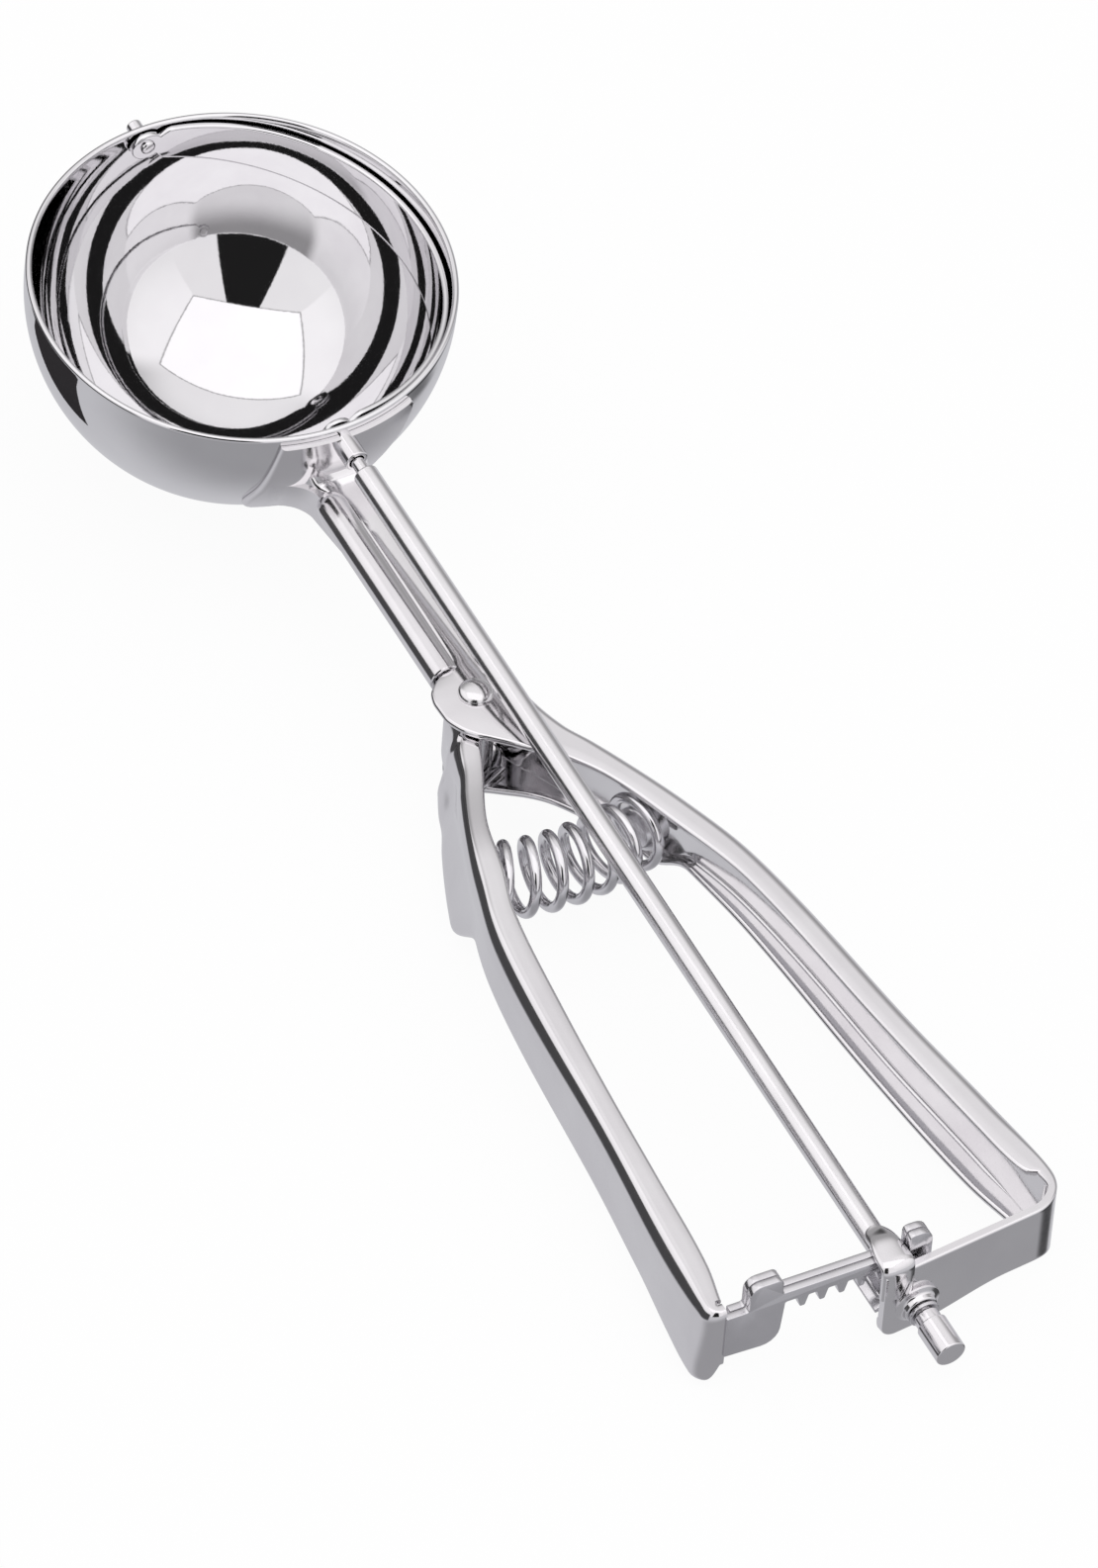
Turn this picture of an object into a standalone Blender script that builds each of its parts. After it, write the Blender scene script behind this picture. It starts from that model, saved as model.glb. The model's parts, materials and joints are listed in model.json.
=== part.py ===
"""Trigger ice cream scoop: a bowl, a folded handle of two sprung levers, and a rod with a
pinion that a rack on the moving lever turns, so that a blade sweeps the bowl.

The pieces are laid out in two frames. The rod frame has its origin at the centre of the
bowl's sphere, +Y out of the bowl's far side along the rod and +Z out of the mouth. The
lever frame has its origin on top of the neck at the pivot, and leans a little against the
rod, so that the rod passes over the pivot and through the strap at the handle's end."""

import math

import bmesh
import bpy

MM = 0.001

# Bowl
BOWL_RADIUS = 30.0 * MM            # outside, also the sphere's radius
BOWL_WALL = 0.9 * MM
RIM_HEIGHT = 2.6 * MM              # straight rim above the sphere's centre
RIM_BREAK = 0.25 * MM              # the rim's edges are broken by this much
CLEARANCE = 0.3 * MM               # between two pieces that touch

# Rod, its ends and what it turns
ROD_RADIUS = 1.75 * MM
ROD_GAP = 2.25 * MM                # thin shaft shows this far between the bush and the rod
SHAFT_RADIUS = 0.9 * MM            # thin end in the bowl's bush
SHAFT_HEAD_RADIUS = 1.9 * MM
SHAFT_HEAD_LENGTH = 0.8 * MM
SPINDLE_RADIUS = 1.2 * MM          # turned-down end in the pinion, bush and cap
NEAR_BUSH_RADIUS = 1.7 * MM
NEAR_BUSH_LENGTH = 5.0 * MM
FAR_PIN_RADIUS = 1.1 * MM
FAR_PIN_REACH = 2.4 * MM           # stands out of the bowl
FAR_HEAD_RADIUS = 2.1 * MM
FAR_HEAD_HEIGHT = 0.9 * MM
BLADE_THICKNESS = 0.8 * MM
BLADE_WIDTH = 8.4 * MM             # at the middle of the sweep
BLADE_END_WIDTH = 4.6 * MM
BLADE_LOBE_RADIUS = 2.45 * MM
BLADE_REST_ANGLE = 9.0             # degrees below the rim's plane, on the fixed lever's side

# Pinion and rack
TOOTH_COUNT = 10
TOOTH_MODULE = 0.92 * MM
TOOTH_ADDENDUM = 0.75 * MM
TOOTH_DEDENDUM = 1.05 * MM
PINION_LENGTH = 6.0 * MM
RACK_TEETH = 7
RACK_SETBACK = 1.35 * MM           # from the strap's back to the front leaf, at the rod
RACK_SWEEP = 2.5                   # degrees; half of the lever's travel at most
LEAF_THICKNESS = 1.15 * MM
LEAF_TOP = 0.5 * MM                # top edge above the levers' top
TAB_RISE = 2.8 * MM                # the stops stand this far above the leaves
LEFT_TAB_WIDTH = 4.9 * MM
RIGHT_TAB_WIDTH = 3.5 * MM
TAB_INNER_ROUND = 0.8 * MM
TAB_OUTER_ROUND = 1.7 * MM
PLATE_HEIGHT = 7.7 * MM            # front leaf where it meets the moving lever
PLATE_RUN = 4.2 * MM               # its lower edge slopes down to there from the last tooth
REAR_LEAF_INSET = 1.0 * MM         # the rear leaf ends this far short of the front one
LEVER_TRAVEL = 6.6                 # degrees between the stops

# Handle
PIVOT_OFFSET = 2.8 * MM            # the handle's centre line lies this far left of the rod
PIVOT_DISTANCE = 74.5 * MM         # from the bowl's centre
ROD_OVER_NECK = 3.4 * MM           # rod's axis above the neck's top at the pivot
ROD_UNDER_STRAP = 7.4 * MM         # rod's axis below the strap's top edge
SHEET = 1.1 * MM
LEVER_LENGTH = 109.0 * MM
LEVER_HALF_SPAN = 27.0 * MM        # pivot line to a lever's outer face, at the end
FLANGE_WIDTH = 3.9 * MM
FOLD_RADIUS = 1.7 * MM             # outside radius of a lever's long folds
TALL_HEIGHT = 15.4 * MM            # lever's height from the pivot past the spring
LOW_HEIGHT = 10.5 * MM             # just after the step
END_HEIGHT = 13.2 * MM
STEP_START = 25.0 * MM             # the height steps down between these two places
STEP_END = 33.5 * MM
FLARE = 1.8 * MM                   # the tall stretch's wall leans out this far at its bottom
FLARE_START = 2.0 * MM
FLARE_FULL = 12.0 * MM
STRAP_HEIGHT = 12.0 * MM           # at the rod
STRAP_LOW_HEIGHT = 10.0 * MM       # towards the fixed lever
STRAP_THICKNESS = 1.2 * MM
STRAP_SWEEP = 4.0                  # degrees
CORNER_RADIUS = 6.3 * MM
MOVING_CORNER_RADIUS = 2.5 * MM
BRACKET_REACH = 2.9 * MM           # strap ends this far past the pivot line
HOOD_HALF_WIDTH = 2.35 * MM
HOOD_OFFSET = -0.35 * MM           # hood's middle from the pivot line
HOOD_LENGTH = 8.6 * MM
HOOD_BEND = 1.9 * MM
HOOD_ROOT = 3.0 * MM               # the tongue leaves the strap this far below its top edge
LUG_RADIUS = 5.4 * MM
MOVING_LUG_RADIUS = 4.6 * MM
MOVING_LUG_START = 5.0 * MM        # the lug's tail meets the moving lever's wall between these
MOVING_LUG_END = 11.0 * MM
PIVOT_WALL_START = -3.0 * MM       # fixed lever's wall beside the pivot
PIVOT_WALL_END = 13.0 * MM
MOVING_START = 4.0 * MM            # moving lever's channel begins, from the pivot
DIP_HELD = 8.0 * MM                # its flanges stay lowered this far along the channel
DIP_GONE = 16.0 * MM
RIVET_RADIUS = 1.5 * MM
RIVET_HEAD_RADIUS = 2.4 * MM
RIVET_HEAD_HEIGHT = 1.3 * MM
SPACER_RADIUS = 2.9 * MM
NECK_LENGTH = 48.0 * MM            # pivot towards the bowl, before the bowl cuts it
NECK_LEFT = 5.4 * MM
NECK_RIGHT = 7.0 * MM
NECK_SKIRT = 5.5 * MM              # turned-down edge of the neck
NECK_STRAIGHT = 24.0 * MM          # its right edge is straight from the bowl to here
NECK_WAIST = 3.6 * MM              # and meets the lever's outer face here
NECK_JOINT = 11.5 * MM             # the neck's sheet ends here, past the pivot
BEAD_RADIUS = 2.5 * MM
BEAD_BORE = 1.5 * MM
BEAD_END = 5.0 * MM                # open end of the rolled bead, from the pivot
BEAD_RISE = 0.5 * MM               # the bead's top above the neck's
SADDLE_DEPTH = 14.0 * MM
SADDLE_LEFT = 21.0                 # degrees round the bowl, to either side of the rod
SADDLE_RIGHT = 23.0

# Spring
SPRING_WIRE = 1.6 * MM
SPRING_MEAN_RADIUS = 4.8 * MM
SPRING_TURNS = 7.5
SPRING_REACH = 27.6 * MM           # from the pivot
SPRING_DROP = 7.4 * MM             # axis below the levers' top
SEAT_SHIFT = 2.0 * MM              # the bent axis meets the walls this much nearer the pivot
STUD_RADIUS = 3.4 * MM
STUD_LENGTH = 3.4 * MM

# Fittings at the handle's end
COLLAR_RADIUS = 2.3 * MM
COLLAR_LENGTH = 1.2 * MM
RING_RADIUS = 2.2 * MM
RING_THICKNESS = 0.5 * MM
CAP_RADIUS = 2.15 * MM
CAP_LENGTH = 5.3 * MM
CAP_NECK_RADIUS = 1.8 * MM
CAP_NECK_LENGTH = 1.5 * MM
CAP_FLOOR = 1.0 * MM               # closed end of the cap

BUSH_INNER_END = BOWL_RADIUS - BOWL_WALL + CLEARANCE / 2
ROD_START = BUSH_INNER_END + NEAR_BUSH_LENGTH + ROD_GAP
PITCH = math.pi * TOOTH_MODULE
PITCH_RADIUS = TOOTH_COUNT * TOOTH_MODULE / 2
ROD_X = PIVOT_OFFSET               # the rod's place in the lever frame
DIP = SHEET + CLEARANCE            # the moving lever's lugs lie this far inside the fixed one's
HOOD_UNDER = LEAF_TOP + CLEARANCE
BUSH_INSIDE = 0.2 * MM             # the strap's bush stands out at the back
CUTTER_LENGTH = 8.0 * MM           # of a tool that goes right through one wall

# A lever's outer face from above: (share of the length, share of the half span)
LEVER_SHAPE = [(-0.04, 0.2), (0.05, 0.259), (0.094, 0.311), (0.133, 0.393), (0.188, 0.489),
               (0.275, 0.619), (0.376, 0.733), (0.483, 0.796), (0.697, 0.874), (0.945, 0.989),
               (1.02, 1.0), (1.06, 1.0)]


def strap_face(across):
    """Distance from the pivot to the strap's front face, across from the pivot line."""
    lean = math.radians(STRAP_SWEEP)
    corner = LEVER_HALF_SPAN - CORNER_RADIUS + CORNER_RADIUS * math.sin(lean)
    straight = LEVER_LENGTH + CLEARANCE + CORNER_RADIUS * math.cos(lean)
    return straight + (corner - across) * math.tan(lean)


STRAP_REACH = strap_face(ROD_X)
STRAP_BACK = STRAP_REACH - STRAP_THICKNESS
LEVER_TILT = math.atan((ROD_OVER_NECK + ROD_UNDER_STRAP) / STRAP_REACH)
LEAF_FRONT = STRAP_BACK - RACK_SETBACK
ROD_UNDER_LEAF = ROD_UNDER_STRAP - (STRAP_REACH - LEAF_FRONT + LEAF_THICKNESS) * math.tan(LEVER_TILT)
RACK_TIP = -ROD_UNDER_LEAF + PITCH_RADIUS - TOOTH_ADDENDUM
RACK_ROOT = RACK_TIP + TOOTH_ADDENDUM + TOOTH_DEDENDUM


def leaf_face(across):
    """Distance from the pivot to the front leaf's front face."""
    return LEAF_FRONT - (ROD_X - across) * math.tan(math.radians(RACK_SWEEP))


def moving_length():
    return leaf_face(MOVING_CORNER_RADIUS - LEVER_HALF_SPAN) - MOVING_CORNER_RADIUS - CLEARANCE


def rest_tilt():
    """Angle that lays the scoop on the bowl's bottom and the levers' ends."""
    sine, cosine = math.sin(LEVER_TILT), math.cos(LEVER_TILT)
    along = PIVOT_DISTANCE + moving_length() * cosine + END_HEIGHT * sine
    down = ROD_OVER_NECK - moving_length() * sine + END_HEIGHT * cosine
    return math.asin(BOWL_RADIUS / math.hypot(along, down)) - math.atan2(down, along)


def clear_scene():
    for old in list(bpy.data.objects):
        bpy.data.objects.remove(old, do_unlink=True)


clear_scene()
scoop = bpy.data.collections.new("ice_cream_scoop")
cutters = bpy.data.collections.new("cutters")
for group in (scoop, cutters):
    bpy.context.scene.collection.children.link(group)


def steel(name, colour, roughness):
    material = bpy.data.materials.new(name)
    material.use_nodes = True
    shader = material.node_tree.nodes["Principled BSDF"]
    shader.inputs["Base Color"].default_value = (*colour, 1.0)
    shader.inputs["Metallic"].default_value = 1.0
    shader.inputs["Roughness"].default_value = roughness
    return material


mirror_steel = steel("mirror_polished_steel", (0.86, 0.86, 0.87), 0.06)
sheet_steel = steel("polished_sheet_steel", (0.82, 0.81, 0.82), 0.12)
cut_steel = steel("cut_steel", (0.62, 0.62, 0.64), 0.28)
wire_steel = steel("spring_wire", (0.72, 0.72, 0.74), 0.16)


def frame_empty(name, parent, location, tilt):
    empty = bpy.data.objects.new(name, None)
    empty.location = location
    empty.rotation_euler = (tilt, 0.0, 0.0)
    empty.parent = parent
    scoop.objects.link(empty)
    return empty


def middle_along():
    """Middle of the whole scoop along Y in the lying pose, so that the origin is under it."""
    tilt = rest_tilt()
    front = (BOWL_RADIUS + FAR_PIN_REACH) * math.cos(tilt) + FAR_PIN_RADIUS * math.sin(tilt)
    back = cap_end() * math.cos(tilt) + CAP_RADIUS * math.sin(tilt)
    return (front - back) / 2


def rod_distance(along):
    """Distance from the bowl's centre along the rod of a place along the levers."""
    level = ROD_OVER_NECK - along * math.tan(LEVER_TILT)
    return PIVOT_DISTANCE + along * math.cos(LEVER_TILT) - level * math.sin(LEVER_TILT)


def strap_front():
    """The strap's front face where the rod passes it, from the bowl's centre."""
    return rod_distance(STRAP_REACH)


def cap_start():
    return strap_front() + COLLAR_LENGTH + 2 * CLEARANCE + RING_THICKNESS + CAP_NECK_LENGTH


def cap_end():
    return cap_start() + CAP_LENGTH


lying = frame_empty("lying_pose", None, (0.0, -middle_along(), BOWL_RADIUS), rest_tilt())
pivot_place = (-PIVOT_OFFSET, -PIVOT_DISTANCE, -ROD_OVER_NECK)
lever_plane = frame_empty("lever_plane", lying, pivot_place, -LEVER_TILT)


def place(thing, parent, material, group=scoop):
    thing.parent = parent
    if material is not None:
        thing.data.materials.append(material)
    group.objects.link(thing)
    return thing


def smooth(thing, angle=40.0):
    thing.data.shade_smooth()
    thing.data.set_sharp_from_angle(angle=math.radians(angle))


def along_rod(thing):
    """Turn a piece made about Z so that its +Z points out of the bowl's far side."""
    thing.rotation_euler = (-math.pi / 2, 0.0, 0.0)
    return thing


def turned(name, profile, parent, material, steps=32, closed=False, group=scoop):
    """A profile of (radius, height) pairs turned about Z, run down its outer side."""
    mesh = bpy.data.meshes.new(name)
    corners = [(radius, 0.0, height) for radius, height in profile]
    edges = [(index, index + 1) for index in range(len(corners) - 1)]
    if closed:
        edges.append((len(corners) - 1, 0))
    mesh.from_pydata(corners, edges, [])
    thing = place(bpy.data.objects.new(name, mesh), parent, material, group)
    screw = thing.modifiers.new("turn", "SCREW")
    screw.steps = steps
    screw.render_steps = steps
    screw.use_merge_vertices = True
    screw.merge_threshold = 0.00001
    screw.use_smooth_shade = True
    return thing


def sleeve(name, inner, outer, low, high, parent, material, lip=0.1 * MM):
    """A tube about Z, with its outer edges broken by lip."""
    profile = [(inner, high), (outer - lip, high), (outer, high - lip), (outer, low + lip),
               (outer - lip, low), (inner, low)]
    return turned(name, profile, parent, material, closed=True)


def flat_outline(name, outlines, thickness, parent, material, group=scoop):
    """A flat plate in XY, centred on its own plane; further outlines are holes."""
    curve = bpy.data.curves.new(name, "CURVE")
    curve.dimensions = "2D"
    curve.fill_mode = "BOTH"
    curve.extrude = thickness / 2
    for outline in outlines:
        spline = curve.splines.new("POLY")
        spline.points.add(len(outline) - 1)
        for point, (across, along) in zip(spline.points, outline):
            point.co = (across, along, 0.0, 1.0)
        spline.use_cyclic_u = True
    return place(bpy.data.objects.new(name, curve), parent, material, group)


def made_mesh(thing):
    """The same object with its curve made a closed mesh, so that it can be cut or joined."""
    bpy.context.view_layer.update()
    evaluated = thing.evaluated_get(bpy.context.evaluated_depsgraph_get())
    mesh = bpy.data.meshes.new_from_object(evaluated)
    shape = bmesh.new()
    shape.from_mesh(mesh)
    bmesh.ops.remove_doubles(shape, verts=shape.verts, dist=0.000001)
    bmesh.ops.recalc_face_normals(shape, faces=shape.faces)
    shape.to_mesh(mesh)
    shape.free()
    name, parent = thing.name, thing.parent
    location, rotation = thing.location.copy(), thing.rotation_euler.copy()
    group = thing.users_collection[0]
    bpy.data.objects.remove(thing, do_unlink=True)
    mesh.name = name
    solid = bpy.data.objects.new(name, mesh)
    solid.parent = parent
    solid.location, solid.rotation_euler = location, rotation
    group.objects.link(solid)
    return solid


def surface(name, rows, parent, material, group=scoop):
    """An open surface through rows of points, to be given a thickness."""
    across = len(rows[0])
    corners = [point for row in rows for point in row]
    faces = []
    for row in range(len(rows) - 1):
        for column in range(across - 1):
            first = row * across + column
            faces.append((first, first + 1, first + across + 1, first + across))
    mesh = bpy.data.meshes.new(name)
    mesh.from_pydata(corners, [], faces)
    return place(bpy.data.objects.new(name, mesh), parent, material, group)


def thicken(thing, thickness, side):
    wall = thing.modifiers.new("wall", "SOLIDIFY")
    wall.thickness = thickness
    wall.offset = side
    wall.use_even_offset = True
    thing.modifiers.new("flat_faces", "TRIANGULATE")


def hide_cutter(thing):
    thing.hide_render = True
    thing.display_type = "WIRE"
    return thing


def new_tool(name, parent, location=(0.0, 0.0, 0.0), rotation=(0.0, 0.0, 0.0)):
    """The primitive just added, moved to the cutters' collection and placed."""
    thing = bpy.context.object
    thing.name = name
    for group in list(thing.users_collection):
        group.objects.unlink(thing)
    cutters.objects.link(thing)
    thing.parent = parent
    thing.location = location
    thing.rotation_euler = rotation
    return hide_cutter(thing)


def cut_or_join(thing, tool, operation):
    boolean = thing.modifiers.new(tool.name, "BOOLEAN")
    boolean.operation = operation
    boolean.object = tool


def round_cutter(name, radius, length, parent, location, rotation):
    bpy.ops.mesh.primitive_cylinder_add(vertices=24, radius=radius, depth=length)
    return new_tool(name, parent, location, rotation)


def box_tool(name, size, parent, location, rotation=(0.0, 0.0, 0.0)):
    bpy.ops.mesh.primitive_cube_add(size=1.0)
    thing = new_tool(name, parent, location, rotation)
    for corner in thing.data.vertices:
        corner.co = [value * side for value, side in zip(corner.co, size)]
    return thing


def arc(centre, radius, start, end, count):
    """Points on a circle, from start to end in degrees."""
    points = []
    for index in range(count):
        angle = math.radians(start + (end - start) * index / (count - 1))
        points.append((centre[0] + radius * math.cos(angle), centre[1] + radius * math.sin(angle)))
    return points


def circle(centre, radius, count=24):
    return arc(centre, radius, 0.0, 360.0 * (count - 1) / count, count)


def ramp(value, low, high):
    """0 at low and 1 at high, level at both."""
    share = min(1.0, max(0.0, (value - low) / (high - low)))
    return share * share * (3 - 2 * share)


def outer_face(along):
    """Distance of a lever's outer face from the pivot line, on a curve through LEVER_SHAPE."""
    share = along / LEVER_LENGTH
    index = 1
    while index < len(LEVER_SHAPE) - 3 and LEVER_SHAPE[index + 1][0] < share:
        index += 1
    before, first, second, after = LEVER_SHAPE[index - 1:index + 3]
    span = second[0] - first[0]
    leave = (second[1] - before[1]) / (second[0] - before[0]) * span
    arrive = (after[1] - first[1]) / (after[0] - first[0]) * span
    t = (share - first[0]) / span
    rise = second[1] - first[1]
    curve = first[1] + t * (leave + t * (3 * rise - 2 * leave - arrive
                                         + t * (leave + arrive - 2 * rise)))
    return LEVER_HALF_SPAN * curve


def lever_height(along):
    low = LOW_HEIGHT + (END_HEIGHT - LOW_HEIGHT) * (along - STEP_END) / (LEVER_LENGTH - STEP_END)
    return TALL_HEIGHT + (min(TALL_HEIGHT, low) - TALL_HEIGHT) * ramp(along, STEP_START, STEP_END)


def wall_lean(along):
    """Angle between a lever's wall and the pivot line, from above."""
    return math.atan((outer_face(along + MM) - outer_face(along - MM)) / (2 * MM))


def flare(along):
    """How far a lever's wall leans out at its bottom."""
    return FLARE * ramp(along, FLARE_START, FLARE_FULL) * (1 - ramp(along, STEP_START, STEP_END))


def channel(name, side, start, end, dip, parent, material):
    """A lever: a folded channel open towards the rod, as a surface with a wall.

    The section runs from the top flange's edge over the fold, down the outer face and
    round to the bottom flange's edge. dip lowers the flanges at the pivot, where this
    lever's lugs lie inside the other's."""
    count = 30
    rows = []
    for index in range(count):
        along = start + (end - start) * index / (count - 1)
        reach = outer_face(along)
        lowered = dip * (1 - ramp(along, start + DIP_HELD, start + DIP_GONE))
        top = -lowered
        bottom = -lever_height(along) + lowered
        section = [(FLANGE_WIDTH, top)]
        section += [(FOLD_RADIUS - across, top - FOLD_RADIUS + up)
                    for across, up in arc((0.0, 0.0), FOLD_RADIUS, 90.0, 0.0, 5)]
        section.append((0.0, top - 0.5 * TALL_HEIGHT * (1 - ramp(along, STEP_START, STEP_END))
                        - 0.3 * TALL_HEIGHT * ramp(along, STEP_START, STEP_END)))
        lower = [(FOLD_RADIUS - across, bottom + FOLD_RADIUS + up)
                 for across, up in arc((0.0, 0.0), FOLD_RADIUS, 0.0, -90.0, 5)]
        lower.append((FLANGE_WIDTH, bottom))
        section += [(inset - flare(along), height) for inset, height in lower]
        rows.append([(side * (reach - inset / math.cos(wall_lean(along))), -along, height)
                     for inset, height in section])
    thing = surface(name, rows, parent, material)
    thicken(thing, SHEET, side)
    smooth(thing)
    return thing


def lug(name, side, start, tail, height, radius):
    """A flat lug round the pivot, with a tail that runs into the lever's outer wall."""
    near = outer_face(start) - SHEET / 2
    far = outer_face(tail) - SHEET / 2
    ring = arc((0.0, 0.0), radius, 20.0, 200.0, 14)
    outline = [(near, -start)] + ring + [(-radius * 0.55, -radius * 0.85)]
    outline += [(far - FLANGE_WIDTH, -tail), (far, -tail)]
    outline = [(side * across, along) for across, along in outline]
    thing = made_mesh(flat_outline(name, [outline], SHEET * 0.84, lever_plane, None, cutters))
    thing.location = (0.0, 0.0, height)
    return hide_cutter(thing)


def bowl():
    inner = BOWL_RADIUS - BOWL_WALL
    profile = [(0.0, -inner)]
    profile += [(inner * math.cos(math.radians(a)), -inner * math.sin(math.radians(a)))
                for a in range(81, -1, -9)]
    profile += [(inner, RIM_HEIGHT - RIM_BREAK), (inner + RIM_BREAK, RIM_HEIGHT),
                (BOWL_RADIUS - RIM_BREAK, RIM_HEIGHT), (BOWL_RADIUS, RIM_HEIGHT - RIM_BREAK)]
    profile += [(BOWL_RADIUS * math.cos(math.radians(a)), -BOWL_RADIUS * math.sin(math.radians(a)))
                for a in range(0, 82, 9)]
    profile.append((0.0, -BOWL_RADIUS))
    thing = turned("bowl", profile, lying, mirror_steel, steps=56)
    hole = NEAR_BUSH_RADIUS + CLEARANCE
    bore = round_cutter("bowl_bush_hole", hole, CUTTER_LENGTH, lying, (0, -BOWL_RADIUS, 0),
                        (math.pi / 2, 0, 0))
    slot = box_tool("bowl_bush_slot", (2 * hole, CUTTER_LENGTH, 2 * RIM_HEIGHT), lying,
                    (0, -BOWL_RADIUS, RIM_HEIGHT))
    far = round_cutter("bowl_pin_hole", FAR_PIN_RADIUS + CLEARANCE, CUTTER_LENGTH, lying,
                       (0, BOWL_RADIUS, 0), (math.pi / 2, 0, 0))
    for tool in (bore, slot, far):
        cut_or_join(thing, tool, "DIFFERENCE")
    return thing


def saddle():
    """The neck's end, wrapped on the bowl's outside below its rim."""
    inner = BOWL_RADIUS + CLEARANCE
    depths = [RIM_HEIGHT - SHEET, 0.0]
    depths += [-SADDLE_DEPTH * share for share in (0.15, 0.3, 0.45, 0.6, 0.75, 0.9, 1.0)]
    rows = []
    for depth in depths:
        level = inner if depth >= 0 else math.sqrt(inner ** 2 - depth ** 2)
        row = []
        for step in range(13):
            angle = math.radians(-SADDLE_LEFT + (SADDLE_LEFT + SADDLE_RIGHT) * step / 12)
            row.append((level * math.sin(angle), -level * math.cos(angle), depth))
        rows.append(row)
    thing = surface("bowl_saddle", rows, lying, sheet_steel)
    thicken(thing, SHEET, -1.0)
    smooth(thing)
    hole = NEAR_BUSH_RADIUS + CLEARANCE
    bore = round_cutter("saddle_bush_hole", hole, CUTTER_LENGTH, lying, (0, -BOWL_RADIUS, 0),
                        (math.pi / 2, 0, 0))
    slot = box_tool("saddle_bush_slot", (2 * hole, CUTTER_LENGTH, 2 * RIM_HEIGHT), lying,
                    (0, -BOWL_RADIUS, RIM_HEIGHT))
    cut_or_join(thing, bore, "DIFFERENCE")
    cut_or_join(thing, slot, "DIFFERENCE")
    return thing


def neck():
    """Top sheet of the neck and pivot lug, its rolled bead and its turned-down edge."""
    wall_side = [(NECK_RIGHT, NECK_LENGTH), (NECK_RIGHT, NECK_STRAIGHT),
                 (outer_face(0), NECK_WAIST)]
    bead_x = BEAD_RADIUS - NECK_LEFT
    outline = list(wall_side)
    for share in (0.35, 0.7, 1.0):
        outline.append((outer_face(share * NECK_JOINT), -share * NECK_JOINT))
    outline.append((outer_face(NECK_JOINT) - FLANGE_WIDTH - SHEET, -NECK_JOINT))
    outline += arc((0.0, 0.0), LUG_RADIUS, 240.0, 150.0, 12)
    outline += [(bead_x, BEAD_END + SHEET), (bead_x, NECK_LENGTH)]
    thing = made_mesh(flat_outline("neck_shank", [outline], SHEET, lever_plane, sheet_steel))
    thing.location = (0.0, 0.0, -SHEET / 2)
    length = NECK_LENGTH - BEAD_END
    bead_centre = (bead_x, BEAD_END + length / 2, BEAD_RISE - BEAD_RADIUS)
    bead = round_cutter("neck_bead", BEAD_RADIUS, length, lever_plane, bead_centre,
                        (math.pi / 2, 0, 0))
    bore = round_cutter("neck_bead_bore", BEAD_BORE, 2 * length, lever_plane, bead_centre,
                        (math.pi / 2, 0, 0))
    inset = SHEET / 20
    skirt_line = [(across - inset, along - inset) for across, along in wall_side]
    back = [(across - SHEET, along) for across, along in reversed(skirt_line)]
    skirt = made_mesh(flat_outline("neck_skirt", [skirt_line + back], NECK_SKIRT, lever_plane,
                                   None, cutters))
    skirt.location = (0.0, 0.0, -NECK_SKIRT / 2 - SHEET / 3)
    hide_cutter(skirt)
    cut_or_join(thing, bead, "UNION")
    cut_or_join(thing, skirt, "UNION")
    cut_or_join(thing, bore, "DIFFERENCE")
    hole = round_cutter("neck_rivet_hole", RIVET_RADIUS + CLEARANCE, CUTTER_LENGTH, lever_plane,
                        (0, 0, 0), (0, 0, 0))
    cut_or_join(thing, hole, "DIFFERENCE")
    outside = BOWL_RADIUS + SHEET + 2 * CLEARANCE
    bpy.ops.mesh.primitive_uv_sphere_add(segments=64, ring_count=48, radius=outside)
    cut_or_join(thing, new_tool("neck_bowl_clearance", lying), "DIFFERENCE")
    return thing


def levers():
    bottom = -TALL_HEIGHT + SHEET / 2
    start = NECK_JOINT + CLEARANCE
    fixed = channel("fixed_lever", 1, start, LEVER_LENGTH, 0.0, lever_plane, mirror_steel)
    fixed_lug = lug("fixed_lower_lug", 1, 0.1 * NECK_JOINT, 1.5 * start, bottom, LUG_RADIUS)
    rows = []
    for step in range(9):
        along = PIVOT_WALL_START + (PIVOT_WALL_END - PIVOT_WALL_START) * step / 8
        reach = outer_face(along) - 0.25 * SHEET
        low = reach + flare(along)
        rows.append([(reach, -along, -DIP), (reach, -along, -0.5 * TALL_HEIGHT),
                     (low, -along, -TALL_HEIGHT + FOLD_RADIUS),
                     (low - 0.3 * SHEET, -along, -TALL_HEIGHT + 0.5 * SHEET)])
    wall = surface("fixed_pivot_wall", rows, lever_plane, None, cutters)
    thicken(wall, SHEET * 0.6, 1.0)
    hide_cutter(wall)
    hole = round_cutter("lever_rivet_hole", RIVET_RADIUS + CLEARANCE, 4 * TALL_HEIGHT,
                        lever_plane, (0, 0, 0), (0, 0, 0))
    cut_or_join(fixed, wall, "UNION")
    cut_or_join(fixed, fixed_lug, "UNION")
    cut_or_join(fixed, hole, "DIFFERENCE")
    moving = channel("moving_lever", -1, MOVING_START, moving_length(), DIP, lever_plane,
                     mirror_steel)
    upper = lug("moving_upper_lug", -1, MOVING_LUG_START, MOVING_LUG_END, -DIP - SHEET / 2,
                MOVING_LUG_RADIUS)
    lower = lug("moving_lower_lug", -1, MOVING_LUG_START, MOVING_LUG_END, bottom + DIP,
                MOVING_LUG_RADIUS)
    cut_or_join(moving, upper, "UNION")
    cut_or_join(moving, lower, "UNION")
    cut_or_join(moving, hole, "DIFFERENCE")


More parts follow.
